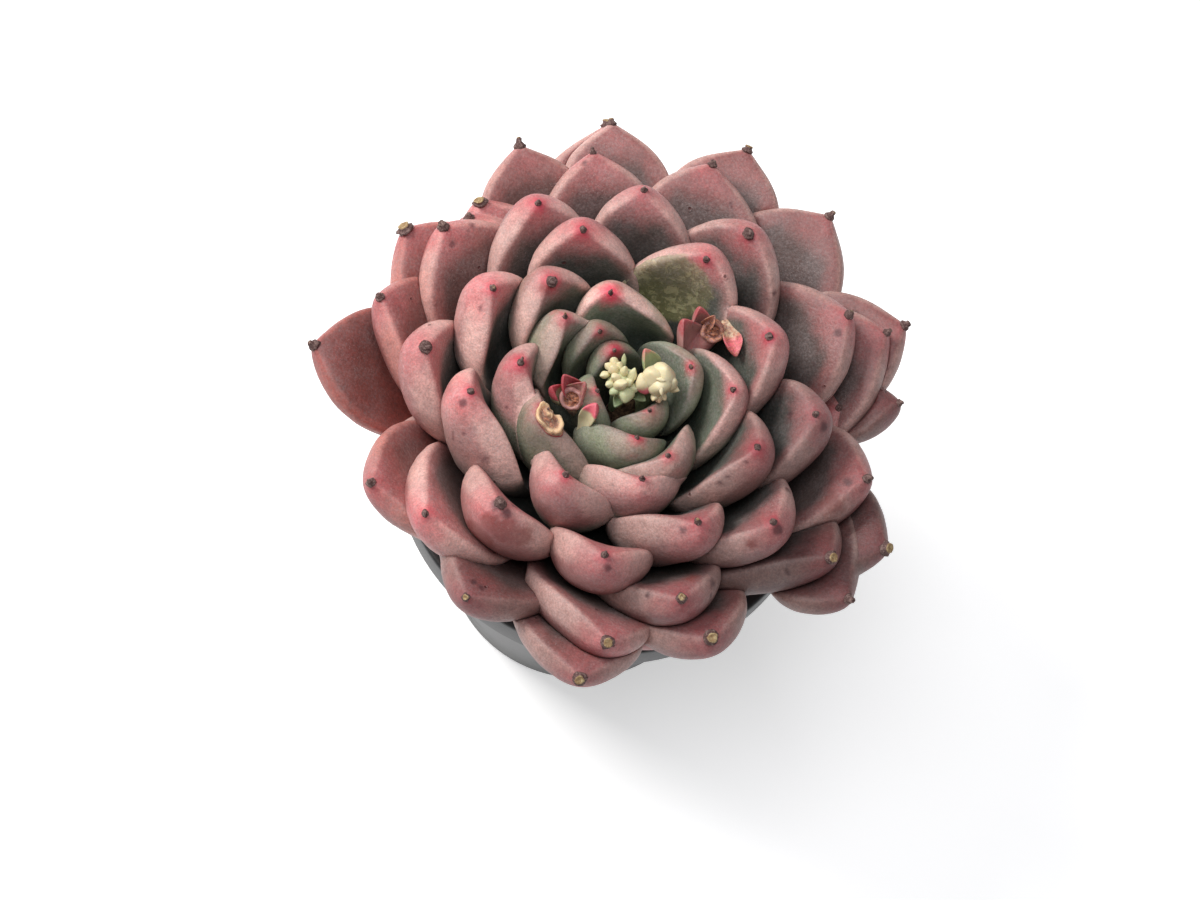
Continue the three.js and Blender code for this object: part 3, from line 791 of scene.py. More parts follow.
def pressed(points, weights, neighbours):
    """points moved out of their neighbours' closed skins. Those that lie deep inside stay there, unseen."""
    points = points.copy()
    for tree, low, high in neighbours:
        inside_box = np.all((points > low) & (points < high), axis=1) & (weights > 0)
        for i in np.nonzero(inside_box)[0]:
            spot, normal, _, depth = tree.find_nearest(Vector(points[i]), PRESS_NONE)
            if spot is not None and (Vector(points[i]) - spot).dot(normal) < PRESS_GAP:
                goal = np.array(spot + normal * PRESS_GAP)
                share = 1 - float(ease(depth, PRESS_FULL, PRESS_NONE))
                points[i] += (goal - points[i]) * weights[i] * share
    return points


# %% [markdown]
# The dry points and the marks of each leaf differ. A leaf's number in these tables is its place in the table
# of leaves, counted from 1. Tables of pairs go by the reach of the tip, as those above do. All lengths are
# millimetres.

# %% How single leaves differ
# How far in from the blade's blunt end its dry point sits, on the inner face, in millimetres.
POINT_IN = {
    41: 1.1, 25: 1.3, 20: 0.5, 27: 0.6, 13: 2.2, 17: 1.8, 23: 2.0, 21: 0.8, 9: 1.8, 8: 1.0, 15: 1.2,
    24: 1.4, 14: 0.0, 7: 0.0, 16: 1.0, 10: 1.0, 5: 1.4, 22: 0.6, 29: 0.2, 33: 0.0, 30: 0.9, 28: 0.6,
}
POINT_IN_BY_REACH = [[4, 0.5], [10, 0.9], [20, 1.0], [28, 0.8], [34, 0.2], [40, 0.0]]
NIPPLE = [[4, 0.5], [24, 0.6], [36, 0.9], [44, 1.1]]
NIPPLE_RADIUS = [[4, 1.2], [24, 1.4], [36, 1.7], [44, 2.0]]
INNER_SHARE_BY_REACH = [[4, 0.35], [14, 0.45], [26, 0.48], [40, 0.5]]
BLUSH_BACK = [[4, 1.2], [8, 2], [12, 3.6], [16, 6], [22, 9], [30, 16], [44, 50]]
BLUSH_INNER = [[4, 0.6], [10, 1.0], [14, 1.6], [18, 2.4], [24, 2.8], [34, 3.2], [44, 3.4]]
BLUSH_MOST = [[4, 0.4], [8, 0.45], [12, 0.6], [15, 0.8], [18, 1]]
STREAKS = {
    9: 0.9, 12: 0.9, 13: 0.6, 14: 0.9, 18: 1.0, 20: 0.5, 21: 0.7, 22: 0.6, 24: 0.7, 25: 0.5, 28: 0.6,
    36: 0.7, 46: 0.8, 6: 0.6, 8: 0.7, 10: 0.5, 7: 0.8, 15: 0.6, 16: 0.6, 19: 0.4, 35: 0.5, 34: 0.6,
}
# One side of the rosette is painted darker, partly painted shade and partly the leaves' own darker tone, and
# the side opposite is painted lighter, as painted light. The oldest leaves opposite have turned ruddy. Single
# leaves stand out from that rule. They are put in a few steps: how light they are, partly painted light and
# shade and partly their own tone, and how rosy.
DARK_SIDE_AZIMUTH, DARK_SIDE_MOST, LIGHT_SIDE_TONE = 345, 0.34, 1.12
LIGHT_SHADE_AND_TONE_STEPS = {
    0.55: (37, 42, 44, 45, 54, 58),
    0.8: (1, 4, 11, 15, 24, 35, 38, 40, 41, 50, 53, 55),
    1.2: (5, 17, 20, 21, 36),
    1.5: (10,),
}
ROSINESS_STEPS = {
    0.6: (7, 11, 15, 16, 17, 19, 20, 21, 22, 23, 24, 25, 29, 30, 38, 42),
    1.35: (9, 12, 14, 18, 53, 54, 58),
}
RUDDY_AZIMUTH = 190
GLOW_REACH = [[4, 2.1], [12, 3.2], [20, 4.6]]
HALO = [[4, 0.9], [14, 0.95], [24, 0.8], [34, 0.5], [44, 0.3]]
# How far below its tip the inner face of a leaf is fully dark with painted shade.
DARK_FROM = [[4, 10], [14, 11], [26, 13], [40, 17]]
# Marks that single leaves carry, each a rough red-brown patch or an olive stain: its kind, the leaf, how far
# down from the tip, how far to the anticlockwise side, the face it is on, its radius, and its strength.
MARKS = [
    ("patch", 27, 4.2, 0.0, "back", 2.6, 1.0),
    ("stain", 17, 7.0, 2.5, "inner", 6.5, 1.0),
]
# The dry point of each leaf: radius, length, how much of its end is cut flat, and how pale its end is.
DRY_POINTS = {
    1: (0.3, 0.5, 0, 0), 2: (0.32, 0.5, 0, 0), 3: (0.34, 0.5, 0, 0.3), 4: (0.34, 0.6, 0, 0),
    5: (0.36, 0.5, 0, 0.6), 6: (0.36, 0.6, 0, 0.2), 7: (0.36, 1.3, 0, 0.8), 8: (0.4, 0.7, 0, 0.2),
    9: (0.42, 0.7, 0, 0), 10: (0.36, 1.1, 0, 0), 12: (0.42, 1.2, 0, 0.1), 13: (0.6, 0.4, 0.6, 0),
    14: (0.5, 1.3, 0, 0.1), 16: (0.8, 0.35, 1, 0.1), 17: (0.5, 0.6, 0.5, 0), 18: (0.5, 0.9, 0, 0),
    19: (0.52, 0.9, 0.3, 0.7), 20: (0.52, 0.8, 0.2, 0.1), 21: (0.5, 0.5, 0.6, 0.5),
    22: (0.5, 0.7, 0.4, 0.2), 23: (0.85, 0.5, 0.8, 0), 26: (0.52, 1.4, 0.1, 0.1),
    27: (0.85, 0.8, 0.5, 0.1), 28: (0.95, 0.45, 1, 0.2), 29: (0.5, 0.7, 0.3, 0),
    30: (0.48, 0.7, 0.2, 0), 31: (0.75, 0.8, 0.6, 0.35), 32: (0.75, 0.8, 0.6, 0.15),
    33: (0.5, 1.0, 0.3, 0), 34: (0.85, 0.8, 1, 0.35), 35: (0.7, 0.9, 0.6, 0.2),
    36: (0.52, 0.6, 0.4, 0.1), 37: (0.6, 0.7, 1, 0.8), 38: (0.75, 0.9, 1, 0.6), 39: (0.95, 0.7, 1, 1),
    40: (1.0, 0.7, 1, 1), 41: (1.05, 0.7, 1, 0.9), 42: (0.95, 0.8, 1, 1), 43: (0.7, 1.5, 0.3, 0.2),
    44: (1.05, 0.9, 1, 0.8), 45: (0.75, 0.9, 0.6, 0.3), 46: (0.8, 1.1, 0.5, 0.5),
    47: (0.9, 0.8, 1, 0.9), 48: (0.75, 0.9, 0.5, 0.8), 49: (1.05, 1.0, 1, 0.9),
    50: (0.9, 1.5, 0.15, 0.6), 51: (1.1, 0.6, 1, 1), 52: (0.75, 0.9, 0.5, 0.3), 53: (1.2, 0.8, 1, 1),
    54: (0.85, 1.2, 0.4, 0.4), 55: (0.7, 0.9, 0.4, 0.1), 56: (0.65, 0.9, 0.4, 0.5),
    57: (0.8, 1.0, 0.6, 0.4), 58: (0.55, 0.8, 0.3, 0.2),
}
POINT_RADIUS_SHARE, POINT_LENGTH_SHARE = 0.72, 0.75
POINT_RADIUS_BY_REACH = [[4, 0.32], [14, 0.42], [26, 0.5], [40, 0.8]]
PLAIN_POINT = (0.8, 0.2, 0.1)


def step_of(number, steps):
    """The step that a leaf is in, or 1 for most leaves, which follow the rule."""
    return next((step for step, leaves in steps.items() if number in leaves), 1.0)


def dry_point_form(number):
    """Radius, length, flatness and paleness of a leaf's dry point."""
    by_reach = look_up(POINT_RADIUS_BY_REACH, LEAVES[number - 1][1])
    radius, length, cut, pale = DRY_POINTS.get(number, (by_reach, *PLAIN_POINT))
    return radius * POINT_RADIUS_SHARE, length * POINT_LENGTH_SHARE, cut, pale


# Over which reach of the tip, in millimetres, a leaf goes from the inner leaves' look to the outer ones'.
CHANGES_OVER = {
    "age": (6, 40), "dark_side": (5, 24), "rim": (5, 14), "glow": (8, 20), "less glow": (36, 44), "ruddy": (29, 38),
}
# The pale margin, partly the leaf's own edge colour and partly a painted highlight: its width, and how far
# down the leaf it fades.
RIM_WIDTH = 1.1
RIM_FADES_DOWN = (9, 15)
# Painted shade: how far down the back darkens and how much, where the inner face starts to darken, and over
# how far in from the rim it grows.
BACK_DARKENS_DOWN, BACK_DARKNESS = (7, 17), 0.85
INNER_DARKENS_FROM, DARK_EDGE_WIDTH = 3, 3


def changed(what, reach):
    """How far the leaves at a reach have gone in one of the changes, from 0 to 1."""
    return float(ease(reach, *CHANGES_OVER[what]))


def leaf_numbers(number, azimuth, reach, at):
    """The numbers at each point of one leaf that the skin's material turns into colours."""
    down, near = at["down"], at["near"]
    inner = ease(at["y"], -0.35, 0.45)
    edge = (1 - np.abs(at["x"])) * at["half"]

    # The blush comes down from the tip on the back, and in from the rim on the inner face.
    from_tip, from_rim = look_up(BLUSH_BACK, reach), look_up(BLUSH_INNER, reach)
    blush_back = 1 - ease(down, 0.5 * from_tip, 1.4 * from_tip)
    blush_in = 1 - ease(np.minimum(edge, down * 0.75), 0.3 * from_rim, 1.5 * from_rim)
    blush_in = blush_in * (0.4 + 0.6 * blush_back)
    blush = (blush_back * (1 - inner) + blush_in * inner) * look_up(BLUSH_MOST, reach)

    # The crimson is a halo round the dry point, and on some leaves a streak that runs down the back from it.
    halo_width = 1.1 + 0.8 * draw(number + 0.5)
    halo = look_up(HALO, reach) * (0.7 + 0.5 * draw(number)) * np.exp(-((near / halo_width) ** 1.5))
    wedge = np.exp(-((at["lateral"] / (0.4 + 0.5 * near)) ** 2) - (near / 2.6) ** 2)
    wedge = wedge * ease(down - down[np.argmin(near)], -0.3, 0.6)
    streak = STREAKS.get(number, 0.0) * wedge * (1 - 0.8 * inner)
    glow = np.exp(-((near / look_up(GLOW_REACH, reach)) ** 2)) * (0.35 + 0.65 * changed("glow", reach))
    glow = glow * (1 - 0.5 * changed("less glow", reach)) * (1 - 0.25 * inner)

    # Painted shade of the rosette's inside: the inner face darkens down from the tip and in from the rim, and
    # the back lower down.
    deep = inner * ease(down, INNER_DARKENS_FROM, look_up(DARK_FROM, reach)) * ease(edge, 0, DARK_EDGE_WIDTH)
    deep = deep + (1 - inner) * BACK_DARKNESS * ease(down, *BACK_DARKENS_DOWN)
    # A pale margin near the tip, partly the leaf's own edge colour and partly a painted highlight.
    rim = np.exp(-((edge / RIM_WIDTH) ** 2)) * (1 - ease(down, *RIM_FADES_DOWN)) * changed("rim", reach)
    # Painted shade on one side of the rosette and painted light on the other, partly the leaves' own tone.
    facing_dark_side = 0.5 + 0.5 * math.cos(math.radians(azimuth - DARK_SIDE_AZIMUTH))
    tone = LIGHT_SIDE_TONE - DARK_SIDE_MOST * facing_dark_side * changed("dark_side", reach)
    facing_ruddy = max(0.0, math.cos(math.radians(azimuth - RUDDY_AZIMUTH)))
    numbers = {
        "age": changed("age", reach),
        "inner": inner,
        "blush": blush * step_of(number, ROSINESS_STEPS),
        "deep": deep,
        "red": np.maximum(halo, streak),
        "glow": glow,
        "rim": rim,
        "tone": tone * step_of(number, LIGHT_SHADE_AND_TONE_STEPS),
        "ruddy": facing_ruddy**2 * changed("ruddy", reach),
    }
    numbers = {name: np.broadcast_to(value, down.shape) for name, value in numbers.items()}
    numbers.update({kind: np.zeros(len(down)) for kind in ("patch", "spot", "stain")})
    side = at["x"] * at["half"]
    for kind, marked, mark_down, aside_by, face, radius, strength in MARKS:
        if marked == number:
            on_face = inner if face == "inner" else 1 - inner
            spread = ((down - mark_down) ** 2 + (side - aside_by) ** 2) / radius**2
            numbers[kind] = np.maximum(numbers[kind], strength * np.exp(-(spread**2)) * on_face)
    return {name: np.append(value, [value[-1], value[0]]) for name, value in numbers.items()}


# %% How one leaf of the table grows
# Degrees for each part of its reach that a tip stands aside, as in the CAD source.
ASIDE_TO_DEGREES = 57
YIELDS_DOWN_TO, FIRM_FROM = 12, 22


def grow_leaf(number, row, neighbours):
    """One leaf: its points, faces and numbers, and where and which way its dry point stands."""
    azimuth, reach, width, aside, *rest = row
    rise, turn = (rest + [0, 0])[:2]
    still_closed = 1 - ease(reach, CLOSED_UP_TO, OPEN_FROM)
    closed = CLOSED_BY * still_closed * math.cos(math.radians(azimuth - CLOSED_AZIMUTH))
    slope = look_up(TIP_SLOPE, reach) + closed
    point_in = POINT_IN.get(number, look_up(POINT_IN_BY_REACH, reach))
    nipple = look_up(NIPPLE, reach)
    base_azimuth = azimuth - ASIDE_TO_DEGREES * aside / reach
    base = on_plant(base_azimuth, look_up(BASE_RADIUS, reach), look_up(BASE_LEVEL, reach))
    tip = on_plant(azimuth, reach, look_up(TIP_LEVEL, reach) + rise)
    out = on_plant(azimuth, 1, 0) - on_plant(azimuth, 0, 0)
    climb, inward = math.radians(slope), math.radians(slope + 90)
    tip = tip - (out * math.cos(inward) + UP * math.sin(inward)) * point_in
    tip = tip - (out * math.cos(climb) + UP * math.sin(climb)) * (nipple + 0.5 * dry_point_form(number)[1])
    points, tip_point, dry_point, at = leaf_surface(
        base, tip, slope, width, look_up(LEAF_THICKNESS, reach), look_up(LEAF_CUP, reach), aside, turn,
        inner_share=look_up(INNER_SHARE_BY_REACH, reach), point_in=point_in, nipple=nipple,
        nipple_radius=look_up(NIPPLE_RADIUS, reach), seed=number)
    points = pressed(points, 1 - ease(at["down"], YIELDS_DOWN_TO, FIRM_FROM), neighbours)
    points, faces = closed_skin(points, LEAF_SIDES, tip_point, points[:LEAF_SIDES].mean(0))
    return points, faces, leaf_numbers(number, azimuth, reach, at), dry_point


# %% Grow every leaf, from the middle outwards
# Each tier of leaves, and the number of its last leaf.
TIERS = {
    "heart_leaves": 12, "inner_leaves": 22, "middle_leaves": 34, "outer_leaves": 45, "skirt_leaves": 58,
    "lower_leaves": 65,
}
NEIGHBOURS_KEPT = 14

grown, dry_points, standing = {}, {}, {}
for number, row in enumerate(LEAVES, 1):
    neighbours = [standing[n] for n in range(max(1, number - NEIGHBOURS_KEPT), number)]
    points, faces, numbers, dry_points[number] = grow_leaf(number, row, neighbours)
    grown[number] = (points, faces, numbers)
    tree = BVHTree.FromPolygons([Vector(p) for p in points], faces)
    standing[number] = (tree, points.min(0), points.max(0))
print("leaves grown:", len(grown))

# %% [markdown]
# Old leaves carry the marks of their life: dark spots, bruises and rough red-brown patches. Each mark is
# placed where it shows in the photograph: a ray from the camera through that pixel finds the leaf it lies on,
# and the mark fades with the distance from that point on the skin.

# %% Marks that show on single leaves
PICTURE_WIDTH, PICTURE_HEIGHT = 1200, 900
# Each mark by the part of the rosette it shows on: its kind, its column and row in the picture, its radius in
# millimetres, and how strong it is.
MARKS_SEEN = {
    "on the left": [
        ("spot", 463, 403, 0.6, 1.0), ("spot", 453, 434, 0.45, 0.9), ("spot", 454, 440, 0.4, 0.8),
        ("spot", 459, 442, 0.4, 0.8), ("spot", 464, 434, 0.45, 0.7),
    ],
    "low on the left": [
        ("spot", 485, 459, 1.2, 0.6), ("spot", 497, 504, 1, 0.9), ("spot", 507, 513, 0.8, 0.9),
        ("spot", 514, 506, 0.5, 0.9), ("patch", 490, 524, 1.8, 1.0), ("patch", 505, 531, 2.3, 1.0),
        ("patch", 522, 537, 1.8, 1.0),
    ],
    "left of the middle": [("spot", 506, 407, 0.4, 0.8)],
    "right of the middle": [
        ("spot", 720, 484, 0.6, 0.8), ("spot", 727, 476, 0.45, 0.7), ("spot", 746, 462, 0.4, 0.7),
    ],
    "low on the right": [
        ("spot", 788, 490, 0.6, 0.9), ("spot", 778, 530, 0.8, 1.0), ("patch", 751, 544, 1, 0.9),
    ],
    "in front": [
        ("spot", 683, 530, 0.6, 0.8), ("spot", 648, 595, 0.6, 0.8), ("patch", 692, 578, 1.3, 0.8),
        ("spot", 713, 584, 1.1, 0.7), ("spot", 711, 597, 0.5, 0.8), ("spot", 608, 568, 0.7, 0.8),
    ],
    "on the right": [
        ("patch", 832, 504, 2.4, 0.8), ("spot", 848, 482, 0.9, 0.7), ("spot", 788, 572, 0.6, 0.8),
        ("spot", 824, 427, 0.8, 0.9), ("spot", 790, 415, 0.6, 0.8),
    ],
    "at the back": [("spot", 731, 205, 0.5, 0.8), ("spot", 584, 163, 0.6, 0.8)],
    "back on the left": [
        ("spot", 472, 225, 0.6, 0.8), ("spot", 452, 244, 0.6, 0.8), ("spot", 480, 308, 0.5, 0.8),
    ],
    "back on the right": [
        ("spot", 775, 293, 0.6, 0.9), ("spot", 838, 333, 0.7, 0.9), ("spot", 815, 365, 0.5, 0.8),
    ],
    "lowest on the left": [("spot", 474, 582, 0.6, 0.8), ("spot", 482, 588, 0.6, 0.9)],
    "behind the buds": [("patch", 545, 288, 1.2, 0.8), ("patch", 620, 287, 1.2, 0.7)],
}


def leaf_seen_at(column, row):
    """The leaf that shows at a pixel of the picture, and the point of its skin that is seen there."""
    pixel = camera_data.sensor_width / FOCAL_LENGTH / PICTURE_WIDTH
    right_by, down_by = column - PICTURE_WIDTH / 2, row - PICTURE_HEIGHT / 2
    way = ahead + picture_right * right_by * pixel - picture_up * down_by * pixel
    seen = []
    for number, (tree, _, _) in standing.items():
        spot, _, _, distance = tree.ray_cast(eye / MM, way.normalized())
        if spot is not None:
            seen.append((distance, number, tuple(spot)))
    return min(seen)[1:] if seen else (None, None)


every_mark = [mark for marks in MARKS_SEEN.values() for mark in marks]
for kind, column, row, radius, strength in every_mark:
    number, spot = leaf_seen_at(column, row)
    if number is not None:
        points, _, numbers = grown[number]
        away = np.linalg.norm(points - np.array(spot), axis=1) / radius
        numbers[kind] = np.maximum(numbers[kind], strength * np.exp(-(away**2)))
print("marks placed:", len(every_mark))

# %% Make the tiers of leaves
tiers = {name: Piece(name) for name in TIERS}
for number, (points, faces, numbers) in grown.items():
    tier = next(name for name, last in TIERS.items() if number <= last)
    tiers[tier].add(points, faces, **numbers)
for piece in tiers.values():
    piece.make(LEAF_SKIN, "leaf", "rosette")

# %% [markdown]
# ## Dry points
#
# Every leaf ends in a dry point, the mucro. On young leaves it is a thin dark spine. On old ones the weather
# has worn it to a short stump with a dark collar and a pale woody face. Each is a small stack of rings that
# starts inside the leaf and stands on it, with its own radius, length, and share of pale wood.

# %% Dry wood material
POINT_DARK = paint(84, 56, 54)
POINT_GREY = paint(142, 118, 112)
WOOD_PALE = paint(196, 176, 134)
WOOD_TAN = paint(150, 118, 82)


def dry_wood():
    material, tree, shader = new_material("dry wood", 0.8)
    pale = from_mesh(tree, "pale")
    crumb = use_group(tree, CRUMB, Size=0.45)
    dark = mixed(tree, crumb["Ridges"], POINT_DARK, POINT_GREY)
    light = mixed(tree, crumb["Ridges"], WOOD_TAN, WOOD_PALE)
    edge = times_plus(tree, noise_at(tree, 0.4, 3.0), 0.6, -0.3)
    wood = stretched(tree, worked_out(tree, "ADD", pale, edge), 0.35, 0.65)
    feed(tree, shader.inputs["Base Color"], mixed(tree, wood, dark, light))
    feed(tree, shader.inputs["Roughness"], stretched(tree, crumb["Height"], 0.3, 0.7, 0.7, 0.95))
    bump_into(tree, shader, crumb["Height"], 0.12, 1.0)
    return material


DRY_WOOD = dry_wood()

# %% Shapes and places of the dry points
POINT_SIDES = 14
POINT_ROUGHNESS = 0.34


def frame_round(direction):
    """Two directions across a direction, and the direction itself, as unit arrays."""
    forward = Vector(direction).normalized()
    first = forward.orthogonal().normalized()
    return np.array(first), np.array(forward.cross(first)), np.array(forward)


def angles_round(sides):
    return np.linspace(0, 2 * np.pi, sides, endpoint=False)


def ring_round(centre, angle, reach, first, second):
    """The points of a ring, each at its angle and reach from the centre, across two directions."""
    return centre + np.outer(np.cos(angle) * reach, first) + np.outer(np.sin(angle) * reach, second)


def noise_round(angle, spread, level):
    """A noise that meets itself again after a full turn."""
    return noise.noise(Vector((math.cos(angle) * spread, math.sin(angle) * spread, level)))


def add_dry_point(piece, spot, lean, radius, length, cut, pale, seed):
    """A spine or worn stump that starts in the leaf and stands on it."""
    first, second, forward = frame_round(lean)
    bend = first * (draw(seed) - 0.5) + second * (draw(seed + 0.5) - 0.5)
    end = 0.18 + 0.62 * cut
    # Height as a share of the length, width as a share of the radius, and how much of the pale wood shows.
    profile = [
        (-0.5, 1.2, 0), (-0.05, 1.32, 0), (0.15, 1.08, 0), (0.45, 0.8 - 0.2 * (1 - cut), 0.1),
        (0.8, 0.5 + 0.34 * cut, 0.5), (0.97, end, 1), (1.0, end * 0.75, 1), (1.0 - 0.16 * cut, end * 0.35, 1),
    ]
    angle = angles_round(POINT_SIDES)
    rings, paleness = [], []
    for height, wide, light in profile:
        rough = np.array([1 + POINT_ROUGHNESS * noise_round(t, 1.5, height * 2 + seed) for t in angle])
        centre = spot + forward * height * length + bend * length * 0.5 * max(0, height) ** 2
        rings.append(ring_round(centre, angle, radius * wide * rough, first, second))
        paleness += [light * pale] * POINT_SIDES
    top = spot + forward * (1.0 - 0.2 * cut) * length + bend * length * 0.5
    points, faces = closed_skin(np.vstack(rings), POINT_SIDES, top, spot - forward * 0.5 * length)
    piece.add(points, faces, pale=np.array(paleness + [pale, 0]))


points_piece = Piece("dry_points")
for number, (spot, lean) in dry_points.items():
    add_dry_point(points_piece, spot, lean, *dry_point_form(number), seed=number)
points_piece.make(DRY_WOOD, "leaf")

# %% [markdown]
# ## Flower shoots
#
# Two heads of tight flower buds stand in the middle of the rosette. The left one is pale green with many
# small oblong buds, the right one rounder and cream. Two older stalks have been cut: a dry stump is left of
# each, with its fleshy red bracts. They share one skin, which the numbers at the vertices turn to green,
# cream, pink, red or brown.

# %% Shoot skin material
BUD_CREAM = paint(240, 222, 178)
BUD_GREEN = paint(176, 188, 140)
BRACT_GREEN = paint(120, 138, 96)
SHOOT_PINK = paint(236, 106, 124)
SHOOT_RED = paint(178, 58, 72)
SHOOT_MAUVE = paint(170, 116, 112)
CALLUS_CREAM = paint(240, 196, 152)
DRY_ORANGE = paint(206, 132, 92)
DRY_BROWN = paint(112, 62, 52)


def shoot_skin():
    material, tree, shader = new_material("shoot skin", 0.45)
    colour = mixed(tree, from_mesh(tree, "green"), BUD_CREAM, BUD_GREEN)
    colour = mixed(tree, from_mesh(tree, "leafy"), colour, BRACT_GREEN)
    grain = times_plus(tree, noise_at(tree, 0.5, 3.0), 0.6, -0.3)
    for name, tone in (("mauve", SHOOT_MAUVE), ("pink", SHOOT_PINK), ("red", SHOOT_RED)):
        mask = stretched(tree, worked_out(tree, "ADD", from_mesh(tree, name), grain), 0.2, 0.8)
        colour = mixed(tree, mask, colour, tone)
    crumb = use_group(tree, CRUMB, Size=0.5)
    dry = mixed(tree, crumb["Ridges"], DRY_BROWN, DRY_ORANGE)
    dryness = stretched(tree, worked_out(tree, "ADD", from_mesh(tree, "dry"), grain), 0.3, 0.7)
    colour = mixed(tree, dryness, colour, dry)
    callus = stretched(tree, worked_out(tree, "ADD", from_mesh(tree, "callus"), grain), 0.2, 0.9)
    colour = mixed(tree, callus, colour, CALLUS_CREAM)
    bloom = use_group(tree, BLOOM, Skin=colour, Powder=paint(236, 226, 222), Amount=0.12)
    feed(tree, shader.inputs["Base Color"], bloom["Colour"])
    feed(tree, shader.inputs["Roughness"], times_plus(tree, dryness, 0.35, 0.42))
    fine, dried = times(tree, noise_at(tree, 0.3, 3.0), 0.3), times(tree, crumb["Height"], dryness)
    height = worked_out(tree, "ADD", fine, dried)
    bump_into(tree, shader, height, 0.12, 0.9)
    let_light_in(shader, 0.2, (1.0, 0.6, 0.35), 1.2)
    return material


SHOOT_SKIN = shoot_skin()

# %% Shapes of buds, bracts and rods
BUD_SIDES, BUD_RINGS = 20, 14
BRACT_SIDES = 28
BRACT_UNEVENNESS = 0.12
ROD_SIDES, ROD_RINGS = 16, 12


def fading(start, end, most=1.0):
    """A tint that is full up to start and gone from end on, along a bract or a bud."""
    return lambda along: most * (1 - ease(along, start, end))


def tints_at(along, tints):
    """Each tint as it is at each point: one number for all, or one that fades along the piece."""
    return {name: tint(along) if callable(tint) else tint for name, tint in tints.items()}


def add_bud(piece, foot, direction, length, radius, seed=0, ribs=4, **tints):
    """A closed bud from its foot: plump, with shallow ribs that meet in a blunt point."""
    first, second, forward = frame_round(direction)
    angle = angles_round(BUD_SIDES)
    turn = draw(seed) * 6
    rings, along = [], []
    for t in np.linspace(0.03, 0.97, BUD_RINGS):
        wide = math.sin(math.pi * t**0.85) ** 0.72
        rib = 1 + 0.12 * t * np.cos(ribs * (angle + turn))
        rib = rib + 0.1 * math.sin(9 * t + seed) * np.cos(2 * (angle - turn))
        rings.append(ring_round(foot + forward * length * t, angle, radius * wide * rib, first, second))
        along += [t] * BUD_SIDES
    points, faces = closed_skin(np.vstack(rings), BUD_SIDES, foot + forward * length, foot)
    piece.add(points, faces, **tints_at(np.array(along + [1, 0]), tints))


def add_bract(piece, foot, tip, width, thickness=0.9, slope=80, cup=0.35, turn=0, seed=0, **tints):
    """A small fleshy bract between two points, made as a leaf is. Its tints fade down from its tip."""
    points, tip_point, _, at = leaf_surface(
        foot, tip, slope, width, thickness, cup * width, turn=turn, sides=BRACT_SIDES, inner_share=0.4,
        nipple=0.26 * width, nipple_radius=0.36 * width, seed=seed, unevenness=BRACT_UNEVENNESS)
    points, faces = closed_skin(points, BRACT_SIDES, tip_point, points[:BRACT_SIDES].mean(0))
    piece.add(points, faces, **tints_at(np.append(at["down"], [0, at["down"][0]]), tints))


def add_rod(piece, start, end, radius, end_radius, **tints):
    """A round stalk, a little uneven, with closed ends."""
    first, second, _ = frame_round(end - start)
    angle = angles_round(ROD_SIDES)
    rings = []
    for t in np.linspace(0, 1, ROD_RINGS):
        reach = (radius + (end_radius - radius) * t) * (1 + 0.08 * noise.noise(Vector((t * 4, 0, 0))))
        rings.append(ring_round(start + (end - start) * t, angle, reach, first, second))
    points, faces = closed_skin(np.vstack(rings), ROD_SIDES, end, start)
    piece.add(points, faces, **tints)


# %% Places and directions as seen from the front
SEEN_RIGHT, SEEN_UP, SEEN_TOWARD = (np.array(way) for way in (picture_right, picture_up, -ahead))


def seen_from(centre, right, up, toward=0.0):
    """The place so many millimetres right of, above and nearer than a centre, seen from the front."""
    return centre + SEEN_RIGHT * right + SEEN_UP * up + SEEN_TOWARD * toward


def seen_way(angle, lift):
    """The direction at an angle seen from the front, 0 for right and 90 for up, lifted towards the viewer."""
    a, rise = math.radians(angle), math.radians(lift)
    return (SEEN_RIGHT * math.cos(a) + SEEN_UP * math.sin(a)) * math.cos(rise) + SEEN_TOWARD * math.sin(rise)


# %% The left bud head
STALK_ROOT_LEVEL = -17
LEFT_HEAD = on_plant(207, 1.5, 0.1)
LEFT_DOME = 2.3

# Each bud: how far right of and above the head's middle, the angle and lift that it points at, its length
# and radius, how green it is, and how leafy.
LEFT_BUDS = [
    (-0.8, 2.5, 110, 45, 1.7, 0.62, 0.1, 0), (0.45, 2.7, 86, 25, 2.0, 0.34, 0.7, 0.3),
    (-2.0, 0.8, 195, 25, 1.5, 0.5, 0.4, 0), (-0.9, 1.5, 120, 60, 1.7, 0.64, 0.0, 0),
    (0.5, 1.3, 80, 45, 1.8, 0.52, 0.4, 0), (-0.7, 0.45, 175, 62, 1.6, 0.58, 0.0, 0),
    (1.5, 0.8, 70, 30, 2.4, 0.6, 0.55, 0), (0.1, -0.4, 15, 35, 2.2, 0.74, 0.2, 0),
    (1.1, -0.1, 20, 50, 1.4, 0.55, 0.5, 0), (-0.85, -1.3, 215, 35, 1.6, 0.62, 0.9, 0.2),
    (0.6, -1.8, 265, 35, 2.5, 1.05, 0.75, 0.1), (-1.5, 1.9, 140, 35, 1.5, 0.52, 0.1, 0),
    (1.7, -0.9, 345, 35, 1.6, 0.6, 0.6, 0), (-0.1, 2.0, 95, 55, 1.5, 0.5, 0.2, 0),
    (-1.4, -0.4, 200, 40, 1.4, 0.5, 0.5, 0),
]


def add_head_bud(piece, head, dome, form, **settings):
    """A bud of a head: its middle lies on the head's dome, and it points its own way."""
    right, up, angle, lift, length, radius = form
    toward = math.sqrt(max(0.0, dome**2 - right**2 - up**2)) - 0.45 * dome
    way = seen_way(angle, lift)
    foot = seen_from(head, right, up, toward) - way * length * 0.55
    add_bud(piece, foot, way, length, radius, **settings)


